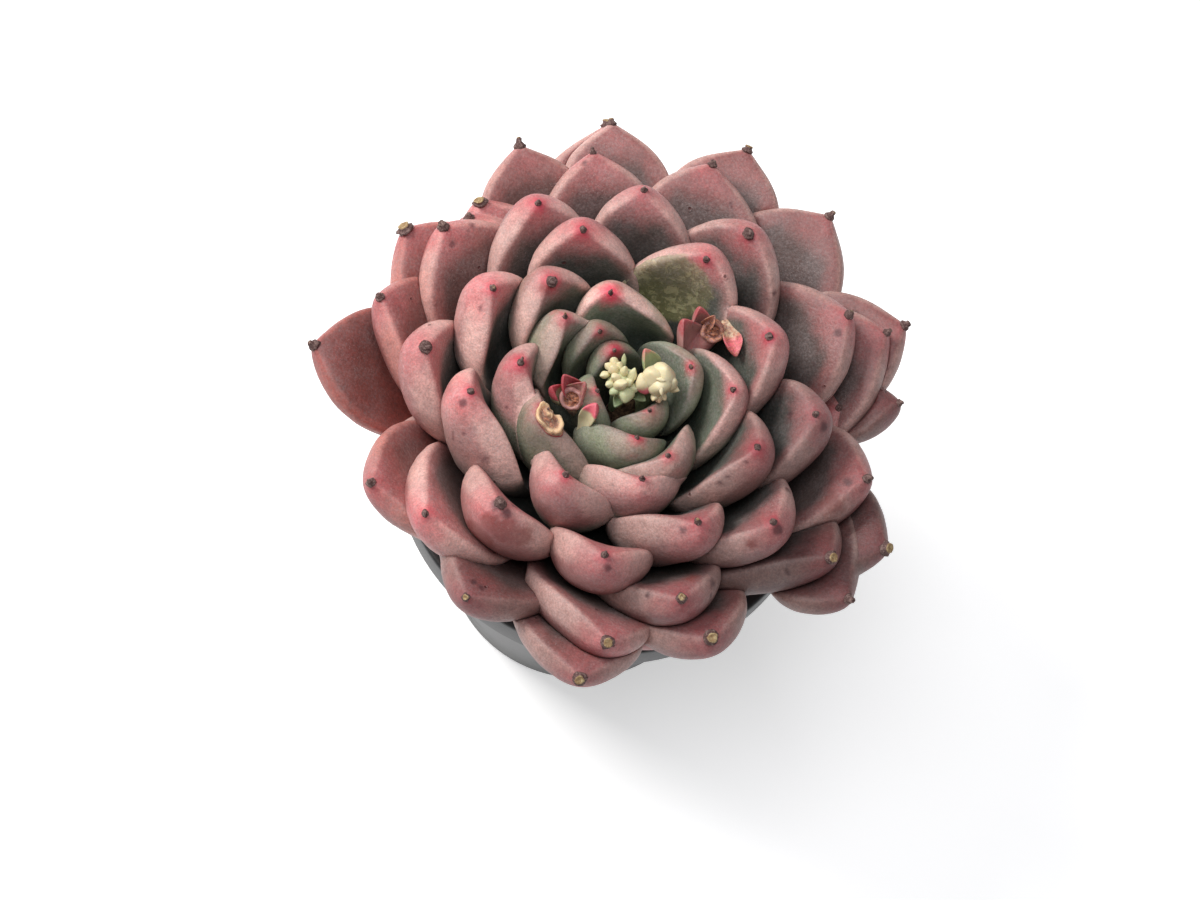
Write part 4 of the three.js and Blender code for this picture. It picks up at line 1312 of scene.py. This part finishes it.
left_head = Piece("bud_head_left_fine")
root, neck = on_plant(188, 0.8, STALK_ROOT_LEVEL), seen_from(LEFT_HEAD, 0, 0, -0.6)
add_rod(left_head, root, neck, 0.8, 1.0, leafy=0.7, green=1.0)
core = seen_from(LEFT_HEAD, 0.1, 0.1, -2.0)
add_bud(left_head, core, SEEN_TOWARD, 2.9, 1.7, seed=40, ribs=5, green=0.8)
for k, (*form, green, leafy) in enumerate(LEFT_BUDS):
    add_head_bud(left_head, LEFT_HEAD, LEFT_DOME, form, seed=k, ribs=3, green=green, leafy=leafy)
foot = seen_from(LEFT_HEAD, 0.6, -0.9, -2.0)
for seed, tip in ((3, seen_from(LEFT_HEAD, 2.9, -2.3, -0.9)), (4, seen_from(LEFT_HEAD, -0.6, -3.0, -1.0))):
    add_bract(left_head, foot, tip, 1.5, 0.7, slope=30, leafy=1.0, green=1.0, seed=seed)
left_head.make(SHOOT_SKIN, "bud_green", "bud_head_left")

# %% The right bud head
RIGHT_HEAD = on_plant(10, 3.0, 0.6)
RIGHT_DOME = 2.4

# Each lobe: the same, but how pink it is at its foot and how dry it is.
RIGHT_LOBES = [
    (0.8, 0.85, 65, 60, 3.6, 1.65, 0.0, 0.0), (0.45, -0.5, 270, 68, 3.3, 1.55, 0.0, 0.0),
    (-0.4, 0.6, 120, 66, 3.4, 1.5, 0.0, 0.0), (-1.6, -0.1, 112, 42, 3.3, 1.15, 0.8, 0.0),
    (1.6, -0.1, 10, 50, 2.8, 1.15, 0.0, 0.0), (2.15, -0.9, 340, 15, 1.9, 0.6, 0.35, 0.0),
    (-0.2, -1.85, 245, 25, 1.7, 0.55, 0.2, 0.4), (0.3, -2.05, 275, 30, 1.8, 0.58, 0.3, 0.45),
    (0.8, -1.8, 300, 25, 1.7, 0.52, 0.1, 0.4),
]
right_head = Piece("bud_head_right_fine")
root, neck = on_plant(4, 0.8, STALK_ROOT_LEVEL), seen_from(RIGHT_HEAD, 0, 0, -0.8)
add_rod(right_head, root, neck, 0.8, 1.1, leafy=0.5, green=0.8)
for k, (*form, pink, dry) in enumerate(RIGHT_LOBES):
    tints = {"pink": fading(0.3, 0.7, pink), "dry": dry, "green": 0.05}
    add_head_bud(right_head, RIGHT_HEAD, RIGHT_DOME, form, seed=k + 20, ribs=2, **tints)
crease = seen_from(RIGHT_HEAD, -0.1, 0.25, 2.3)
add_bud(right_head, crease, seen_way(350, 5), 1.3, 0.3, seed=31, ribs=2, dry=0.32)
crease = seen_from(RIGHT_HEAD, 0.5, -0.4, 2.2)
add_bud(right_head, crease, seen_way(275, 10), 1.5, 0.34, seed=32, ribs=2, dry=0.32)
foot = seen_from(RIGHT_HEAD, -0.2, 0.4, -2.6)
add_bract(right_head, foot, seen_from(RIGHT_HEAD, -1.3, 3.6, 0.4), 2.7, 0.8, slope=66, leafy=0.35,
          green=1.0, pink=fading(0.1, 1.3, 0.5), seed=6)
right_head.make(SHOOT_SKIN, "bud_cream", "bud_head_right")

# %% [markdown]
# ## Cut stalks
#
# Where a flower stalk has been cut off, its stump dries: a rim of shrunken skin stands round a dark, sunken
# core. Bracts of the stalk live on beside it. The left stump still has a crimson one that wraps round it, a
# blunt red one, and a fleshy one with a bright tip. The right one has dried to a brown papery curl.

# %% A stump's end
STUMP_SIDES = 40
# Each ring of the stump: its reach and height as shares of its size, and how dry it is.
STUMP_PROFILE = [
    (1.15, -2.4, 0), (1.5, -1.2, 0), (1.62, -0.4, 0), (1.5, 0.05, 0), (1.22, 0.16, 0.1),
    (1.02, 0.0, 0.5), (0.92, -0.35, 1), (0.72, -0.42, 1), (0.55, -0.1, 0.8), (0.36, -0.05, 0.7),
    (0.18, -0.22, 1),
]


def add_stump(piece, spot, way, size, seed, skin_dryness=0.0, rim_callus=0.0, **tints):
    """The dried end of a cut stalk: a soft rim round a groove and a small crumpled core."""
    first, second, forward = frame_round(way)
    angle = angles_round(STUMP_SIDES)
    rings, dryness, callus = [], [], []
    for reach, height, dry in STUMP_PROFILE:
        ripple = np.array([noise_round(t, 1.8, reach + seed) for t in angle])
        wide = size * reach * (1 + 0.14 * ripple)
        centre = spot + np.outer(height * size + 0.22 * ripple * (height > -0.8), forward)
        rings.append(ring_round(centre, angle, wide, first, second))
        dryness += [max(dry, skin_dryness)] * STUMP_SIDES
        callus += [rim_callus if 1.1 < reach < 1.55 and height > -0.1 else 0.0] * STUMP_SIDES
    core, foot = spot - forward * 0.2 * size, spot - forward * 2.4 * size
    points, faces = closed_skin(np.vstack(rings), STUMP_SIDES, core, foot)
    piece.add(points, faces, dry=np.array(dryness + [1, 0]), callus=np.array(callus + [0, 0]), **tints)


# %% The left stump and its bracts
LEFT_STUMP = on_plant(215.5, 8.0, -0.8)
left_root = on_plant(214, 3.6, STALK_ROOT_LEVEL + 4)
left_stalk = Piece("cut_stalk_left_fine")
add_rod(left_stalk, left_root, seen_from(LEFT_STUMP, 0, 0, -1.6), 1.1, 1.35, mauve=0.6, leafy=0.5)
add_stump(left_stalk, LEFT_STUMP, seen_way(250, 78), 0.95, 3, mauve=0.85)
collar = seen_from(LEFT_STUMP, 0.6, -0.2, -3.4)
add_bract(left_stalk, collar, seen_from(LEFT_STUMP, -0.8, 2.7, 0.8), 2.9, 0.8, slope=75, cup=0.4, turn=-25,
          red=fading(0.8, 2.6), mauve=0.8, seed=11)
add_bract(left_stalk, collar, seen_from(LEFT_STUMP, 1.5, 1.7, 0.5), 3.3, 0.8, slope=75, cup=0.45,
          red=fading(0.2, 1.2, 0.5), mauve=0.7, pink=0.15, seed=13)
collar = seen_from(LEFT_STUMP, -1.0, -0.4, -3.2)
add_bract(left_stalk, collar, seen_from(LEFT_STUMP, -2.4, 1.3, 0.1), 2.4, 0.9, slope=78,
          red=fading(0.7, 1.4, 0.9), leafy=0.5, mauve=0.4, seed=12)
foot = seen_from(LEFT_STUMP, 0.9, -4.2, -3.2)
add_bract(left_stalk, foot, seen_from(LEFT_STUMP, 2.9, -0.8, 0.4), 2.1, 1.4, slope=60, leafy=0.15,
          red=fading(0.2, 1.0, 0.4), pink=fading(0.5, 1.5, 0.9), mauve=0.25, callus=0.2, seed=14)
left_stalk.make(SHOOT_SKIN, "stalk_red", "cut_stalk_left")

# %% The right stump and its bracts
RIGHT_STUMP = on_plant(52.5, 13.1, -1.4)
right_root = on_plant(53, 5.67, STALK_ROOT_LEVEL + 4)
right_stalk = Piece("cut_stalk_right_fine")
add_rod(right_stalk, right_root, seen_from(RIGHT_STUMP, 0, 0, -1.6), 1.1, 1.3, mauve=1, red=0.35, dry=0.2)
add_stump(right_stalk, RIGHT_STUMP, seen_way(250, 72), 0.95, 5, skin_dryness=0.55, rim_callus=0.3,
          mauve=1, red=0.2)
foot = seen_from(RIGHT_STUMP, -2.6, -2.2, -3.6)
add_bract(right_stalk, foot, seen_from(RIGHT_STUMP, -3.6, 0.9, 0.2), 4.3, 1.4, slope=74, mauve=1, dry=0.3,
          red=fading(0.2, 1.6, 0.6), seed=21)
collar = seen_from(RIGHT_STUMP, -1.6, -0.4, -3.4)
add_bract(right_stalk, collar, seen_from(RIGHT_STUMP, -1.6, 2.7, 0.3), 2.7, 1.1, slope=76, mauve=1, dry=0.3,
          red=fading(0.2, 1.4, 0.6), seed=22)
collar = seen_from(RIGHT_STUMP, -0.8, 0.4, -1.4)
add_bract(right_stalk, collar, seen_from(RIGHT_STUMP, 0.1, 1.8, 0.9), 1.5, 0.5, slope=50, cup=0.5,
          mauve=1, dry=0.6, turn=30, seed=23)
foot = seen_from(RIGHT_STUMP, 1.7, 1.5, -1.4)
add_bract(right_stalk, foot, seen_from(RIGHT_STUMP, 2.9, -2.7, 0.7), 2.5, 1.0, slope=12, cup=0.45,
          pink=fading(1.2, 3.2, 0.9), callus=0.1, mauve=0.5, dry=0.48, seed=24)
right_stalk.make(SHOOT_SKIN, "stalk_brown", "cut_stalk_right")

# %% The crusted scar on the eleventh leaf
SCAR_SPOT = on_plant(228, 12.2, 2.6)
SCAR_LEAF = 11
SCAR_LONG, SCAR_SHORT = 2.7, 1.85
SCAR_LEANS = 312
SCAR_RINGS, SCAR_SIDES = 16, 56
FLAP_AT, FLAP_REACH = (-0.12, 0.2), 0.3


def add_scar(piece):
    """A crust with a thick, broken rim and a torn flap in its middle, that lies on the leaf's skin."""
    skin = standing[SCAR_LEAF][0]
    spot, normal, _, _ = skin.find_nearest(Vector(SCAR_SPOT))
    first = Vector(seen_way(SCAR_LEANS, 0))
    first = (first - normal * first.dot(normal)).normalized()
    second = normal.cross(first)
    points, dryness, redness, callus = [], [], [], []
    for ring in range(SCAR_RINGS):
        share = (ring + 1) / SCAR_RINGS
        for k in range(SCAR_SIDES):
            angle = 2 * math.pi * k / SCAR_SIDES
            ragged = 1 + 0.16 * noise_round(angle, 1.6, 4)
            x, y = math.cos(angle) * share * ragged, math.sin(angle) * share * ragged
            place, up, _, _ = skin.find_nearest(spot + first * x * SCAR_LONG + second * y * SCAR_SHORT)
            lumps = noise.noise(place * 1.5)
            crest = math.exp(-(((share - 0.7 - 0.08 * lumps) / 0.17) ** 2)) * (0.85 + 0.7 * lumps)
            off_flap = math.hypot(x - FLAP_AT[0], y - FLAP_AT[1]) / FLAP_REACH
            flap = math.exp(-(off_flap**4)) * (0.75 + 0.5 * lumps)
            height = 0.75 * crest + 0.5 * flap + 0.1 * noise.noise(place * 4) * (1 - share)
            height += 0.16 - 0.3 * float(ease(share, 0.93, 1.0))
            points.append(np.array(place + up * height))
            callus.append(min(1.0, 0.12 + 1.05 * crest + 0.75 * flap))
            dryness.append(0.66 * (1 - float(ease(share, 0.86, 0.95))))
            redness.append(float(ease(share, 0.84, 0.94)))
    place, up, _, _ = skin.find_nearest(spot)
    points += [np.array(place - up * 0.6), np.array(place + up * 0.1)]
    faces = ring_faces(SCAR_RINGS, SCAR_SIDES)
    last, middle = (SCAR_RINGS - 1) * SCAR_SIDES, len(points) - 1
    faces = [(d, c, b, a) for a, b, c, d in faces]
    faces += [(middle, i, (i + 1) % SCAR_SIDES) for i in range(SCAR_SIDES)]
    faces += [(last + (i + 1) % SCAR_SIDES, last + i, middle - 1) for i in range(SCAR_SIDES)]
    numbers = {"dry": dryness + [0, 0.7], "red": redness + [1, 0], "callus": callus + [0, 0.3]}
    piece.add(points, faces, **{name: np.array(values) for name, values in numbers.items()})


scar = Piece("leaf_scar")
add_scar(scar)
scar.make(SHOOT_SKIN, "stalk_brown")

# %% [markdown]
# ## Stem
#
# Under the leaves the stem is short, thick and woody, ringed with the scars of leaves that have dropped. It
# tapers up into the rosette, where the leaves grow from it, and its foot stands in the soil.

# %% Bark material
BARK_TAN = paint(148, 116, 88)
BARK_DARK = paint(84, 60, 46)
BARK_SCAR = paint(176, 150, 120)


def stem_bark():
    material, tree, shader = new_material("stem bark", 0.85)
    crumb = use_group(tree, CRUMB, Size=1.2)
    colour = mixed(tree, crumb["Ridges"], BARK_DARK, BARK_TAN)
    scars = times_plus(tree, noise_at(tree, 0.8, 2.0), 0.5, from_mesh(tree, "scar"))
    colour = mixed(tree, stretched(tree, scars, 0.5, 1.0), colour, BARK_SCAR)
    feed(tree, shader.inputs["Base Color"], colour)
    feed(tree, shader.inputs["Roughness"], stretched(tree, crumb["Height"], 0.3, 0.7, 0.75, 0.95))
    bump_into(tree, shader, crumb["Height"], 0.3, 0.9)
    return material


STEM_BARK = stem_bark()

# %% Stem with its rings of leaf scars
SOIL_TOP = 37.5
STEM_PROFILE = [
    (18.3, 3.4), (20, 4.2), (SOIL_TOP - 3, 4.5), (SOIL_TOP + 3.5, 5.1), (46, 4.6), (51, 2.8), (56, 2.0),
    (59, 1.2),
]
STEM_SIDES = 72
STEM_RINGS = 90
SCARS, LOWEST_SCAR, SCAR_STEP = 40, 24, 0.62
SCAR_WIDTH, SCAR_HEIGHT, SCAR_RELIEF = 1.9, 0.55, 0.22
BARK_ROUGHNESS = 0.12


def make_stem():
    levels = np.linspace(STEM_PROFILE[0][0], STEM_PROFILE[-1][0], STEM_RINGS)
    scars = [(math.radians(k * GOLDEN_ANGLE), LOWEST_SCAR + k * SCAR_STEP) for k in range(SCARS)]
    points, marks = [], []
    for level in levels:
        radius = look_up(STEM_PROFILE, level)
        for k in range(STEM_SIDES):
            angle = 2 * math.pi * k / STEM_SIDES
            mark = 0.0
            for at, height in scars:
                aside = ((angle - at + math.pi) % (2 * math.pi) - math.pi) * radius / SCAR_WIDTH
                above = (level - height) / SCAR_HEIGHT
                mark = max(mark, math.exp(-(aside**4) - above**2))
            rough = BARK_ROUGHNESS * noise_round(angle, 3, level * 0.5)
            wide = radius + rough + SCAR_RELIEF * mark
            points.append((math.cos(angle) * wide, math.sin(angle) * wide, level))
            marks.append(mark)
    points, faces = closed_skin(points, STEM_SIDES, (0, 0, levels[-1] + 0.3), (0, 0, levels[0]))
    stem = Piece("stem")
    stem.add(points, faces, scar=np.array(marks + [0, 0]))
    stem.make(STEM_BARK, "leaf", "rosette")


make_stem()

# %% [markdown]
# ## Pot
#
# A plain nursery pot, thin and dark: a tapered wall, a thicker band at the rim under which it stacks, a flat
# floor and drain holes. The wall is turned like a lathe part, and real cutters take the holes out.

# %% Pot plastic material
PLASTIC_DARK = paint(52, 53, 55)
PLASTIC_DUSTY = paint(98, 94, 88)


def pot_plastic():
    material, tree, shader = new_material("pot plastic", 0.5)
    dust = stretched(tree, noise_at(tree, 9.0, 5.0, 0.65), 0.5, 0.8, 0.0, 0.35)
    low = add_node(tree, "ShaderNodeSeparateXYZ", {"Vector": place_in_piece(tree)}).outputs["Z"]
    splash = stretched(tree, low, 0.0, 14 * MM, 0.3, 0.0)
    dust = worked_out(tree, "ADD", dust, times(tree, splash, noise_at(tree, 2.5, 4.0, 0.7)), clamp=True)
    feed(tree, shader.inputs["Base Color"], mixed(tree, dust, PLASTIC_DARK, PLASTIC_DUSTY))
    feed(tree, shader.inputs["Roughness"], times_plus(tree, dust, 0.6, 0.44))
    bump_into(tree, shader, noise_at(tree, 0.45, 3.0, 0.6), 0.05, 0.7)
    return material


POT_PLASTIC = pot_plastic()

# %% Pot turned and drilled
POT_HEIGHT, POT_TOP_RADIUS, POT_FOOT_RADIUS = 42, 27, 19
POT_WALL, POT_FLOOR, POT_RIM_DEPTH, POT_RIM_STEP = 1.3, 1.6, 5, 1.4
POT_SIDES = 144
POT_ROUNDING, POT_SMOOTH_UP_TO = 0.6, 35
DRAIN_HOLES, DRAIN_RADIUS, DRAIN_CIRCLE = 6, 2.4, 12.5
DRILL_BEYOND, DRILL_SIDES = 2, 40


def pot_out(level):
    return POT_FOOT_RADIUS + (POT_TOP_RADIUS - POT_FOOT_RADIUS) * level / POT_HEIGHT


def rounded(profile, radius, steps=4):
    """A profile with each inner corner rounded, as points."""
    made = [np.array(profile[0], float)]
    for before, corner, after in zip(profile, profile[1:], profile[2:]):
        before, corner, after = (np.array(p, float) for p in (before, corner, after))
        first, last = before - corner, after - corner
        cut = min(radius, np.linalg.norm(first) * 0.45, np.linalg.norm(last) * 0.45)
        start, end = corner + first / np.linalg.norm(first) * cut, corner + last / np.linalg.norm(last) * cut
        for t in np.linspace(0, 1, steps + 1):
            made.append((1 - t) ** 2 * start + 2 * t * (1 - t) * corner + t**2 * end)
    made.append(np.array(profile[-1], float))
    return made


def turned(profile, sides):
    """The points and faces of a profile turned round the axis, from axis to axis."""
    points = [np.array([0, 0, profile[0][1]]), np.array([0, 0, profile[-1][1]])]
    for reach, level in profile[1:-1]:
        for k in range(sides):
            angle = 2 * math.pi * k / sides
            points.append(np.array([reach * math.cos(angle), reach * math.sin(angle), level]))
    rings = len(profile) - 2
    faces = ring_faces(rings, sides, 2)
    last = 2 + (rings - 1) * sides
    faces += [(2 + (k + 1) % sides, 2 + k, 0) for k in range(sides)]
    faces += [(last + k, last + (k + 1) % sides, 1) for k in range(sides)]
    return points, faces


def make_pot():
    ledge = POT_HEIGHT - POT_RIM_DEPTH
    rim = pot_out(POT_HEIGHT) + POT_RIM_STEP
    inner_top, inner_foot = pot_out(POT_HEIGHT) - POT_WALL, pot_out(POT_FLOOR) - POT_WALL
    profile = [
        (0, 0), (pot_out(0), 0), (pot_out(ledge), ledge), (rim, ledge), (rim, POT_HEIGHT),
        (inner_top, POT_HEIGHT), (inner_foot, POT_FLOOR), (0, POT_FLOOR),
    ]
    points, faces = turned(rounded(profile, POT_ROUNDING), POT_SIDES)
    pot = Piece("pot_fine")
    pot.add(points, faces)
    made = pot.make(POT_PLASTIC, "pot", "pot")
    low, high = -DRILL_BEYOND, POT_FLOOR + DRILL_BEYOND
    drill, drill_faces = turned([(0, low), (DRAIN_RADIUS, low), (DRAIN_RADIUS, high), (0, high)], DRILL_SIDES)
    cutters = Piece("drill")
    for k in range(DRAIN_HOLES):
        angle = math.radians((k + 0.5) * 360 / DRAIN_HOLES)
        at = np.array([math.cos(angle), math.sin(angle), 0]) * DRAIN_CIRCLE
        cutters.add(np.array(drill) + at, drill_faces)
    drill_mesh = bpy.data.meshes.new("drill")
    drill_mesh.from_pydata(np.concatenate(cutters.points) * MM, [], cutters.faces)
    drill_object = bpy.data.objects.new("drill", drill_mesh)
    scene.collection.objects.link(drill_object)
    cut = made.modifiers.new("drain holes", "BOOLEAN")
    cut.operation, cut.object, cut.solver = "DIFFERENCE", drill_object, "EXACT"
    bpy.context.view_layer.update()
    drilled = bpy.data.meshes.new_from_object(made.evaluated_get(bpy.context.evaluated_depsgraph_get()))
    made.modifiers.remove(cut)
    made.data = drilled
    drilled.set_sharp_from_angle(angle=math.radians(POT_SMOOTH_UP_TO))
    bpy.data.objects.remove(drill_object)
    print("pot faces after drilling:", len(drilled.polygons))


make_pot()

# %% [markdown]
# ## Soil
#
# Succulents stand in a gritty mix: dark crumbs of soil with paler grains of pumice and baked clay. The body
# of it fills the pot to a little under the rim. Its top is a field of crumbs, and loose grains of several
# sizes lie on it.

# %% Soil material
SOIL_DARK = paint(58, 44, 36)
SOIL_BROWN = paint(96, 74, 58)
GRIT_PUMICE = paint(190, 182, 168)
GRIT_CLAY = paint(150, 104, 72)


def gritty_soil():
    material, tree, shader = new_material("gritty soil", 0.95)
    crumb = use_group(tree, CRUMB, Size=0.8)
    colour = mixed(tree, crumb["Ridges"], SOIL_DARK, SOIL_BROWN)
    grain = times_plus(tree, crumb["Height"], 0.5, 0.6)
    colour = mixed(tree, from_mesh(tree, "pumice"), colour, GRIT_PUMICE)
    colour = mixed(tree, from_mesh(tree, "clay"), colour, GRIT_CLAY)
    feed(tree, shader.inputs["Base Color"], darkened(tree, colour, grain))
    feed(tree, shader.inputs["Roughness"], stretched(tree, crumb["Height"], 0.3, 0.7, 0.85, 1.0))
    bump_into(tree, shader, crumb["Height"], 0.35, 1.0)
    return material


GRITTY_SOIL = gritty_soil()

# %% Soil and its grains
FIT_GAP = 0.3
STEM_HOLE = 4.9
HOLE_BOTTOM, HOLE_WALL_TOP = 18.0, 26.0
SOIL_SIDES = 120
SOIL_RINGS = 26
GRAINS = 420
GRAIN_LEAST, GRAIN_MOST, GRAIN_FULLNESS = 0.5, 1.3, 1.6
GRAIN_SIDES, GRAIN_RINGS = 7, 3
GRAIN_POLE, GRAIN_FLATNESS = 0.7, 0.75
PUMICE_BELOW, CLAY_ABOVE = 0.3, 0.72


def soil_level(x, y):
    """The crumbly top of the soil, a little higher at the stem."""
    reach = math.hypot(x, y)
    crumbs = 0.3 * noise.noise(Vector((x, y, 3.1)) * 0.9) + 0.35 * noise.noise(Vector((x, y, 8.4)) * 0.35)
    return SOIL_TOP + 0.7 * (1 - reach / POT_TOP_RADIUS) + crumbs


def add_grain(piece, spot, size, seed, **tints):
    """An irregular stone: a ball of few faces with its points moved in and out."""
    sides, rings = GRAIN_SIDES, GRAIN_RINGS
    pole = np.array([0, 0, size * GRAIN_POLE])
    points = [spot + pole]
    for ring in range(1, rings + 1):
        polar = math.pi * ring / (rings + 1)
        wide, high = math.sin(polar), GRAIN_FLATNESS * math.cos(polar)
        for k in range(sides):
            angle = 2 * math.pi * (k + 0.5 * ring) / sides
            out = np.array([wide * math.cos(angle), wide * math.sin(angle), high])
            points.append(spot + out * size * (0.75 + 0.5 * draw(seed + ring * 7.1 + k)))
    points.append(spot - pole)
    last = 1 + (rings - 1) * sides
    faces = [(0, 1 + k, 1 + (k + 1) % sides) for k in range(sides)]
    for first in range(1, last, sides):
        for k in range(sides):
            a, b = first + k, first + (k + 1) % sides
            faces.append((a, a + sides, b + sides, b))
    faces += [(last + k, last + sides, last + (k + 1) % sides) for k in range(sides)]
    piece.add(points, faces, **tints)


def make_soil():
    low = POT_FLOOR + FIT_GAP
    wall = POT_WALL + FIT_GAP
    top_reach = pot_out(SOIL_TOP) - wall
    levels = [(0.5, HOLE_BOTTOM), (STEM_HOLE, HOLE_BOTTOM), (STEM_HOLE, HOLE_WALL_TOP)]
    levels += [(reach, None) for reach in np.linspace(STEM_HOLE, top_reach, SOIL_RINGS)]
    levels += [(pot_out(level) - wall, level) for level in (25, 12, low)] + [(8, low), (0.5, low)]
    points = []
    for reach, level in levels:
        for k in range(SOIL_SIDES):
            angle = 2 * math.pi * k / SOIL_SIDES
            x, y = reach * math.cos(angle), reach * math.sin(angle)
            points.append((x, y, soil_level(x, y) if level is None else level))
    points, faces = closed_skin(points, SOIL_SIDES, (0, 0, low), (0, 0, HOLE_BOTTOM))
    soil = Piece("soil_fine")
    soil.add(points, [tuple(reversed(face)) for face in faces])
    for k in range(GRAINS):
        reach = math.sqrt(STEM_HOLE**2 + draw(k) * ((top_reach - 1.2) ** 2 - STEM_HOLE**2))
        angle = 2 * math.pi * draw(k + 0.37)
        across = GRAIN_LEAST + (GRAIN_MOST - GRAIN_LEAST) * draw(k + 0.71) ** 2
        size = 0.5 * across * GRAIN_FULLNESS
        x, y = reach * math.cos(angle), reach * math.sin(angle)
        kind = draw(k + 0.53)
        tints = {"pumice": 1.0 if kind < PUMICE_BELOW else 0.0, "clay": 0.9 if kind > CLAY_ABOVE else 0.0}
        add_grain(soil, np.array([x, y, soil_level(x, y) + size * 0.1]), size, k, **tints)
    soil.make(GRITTY_SOIL, "soil", "soil")


make_soil()
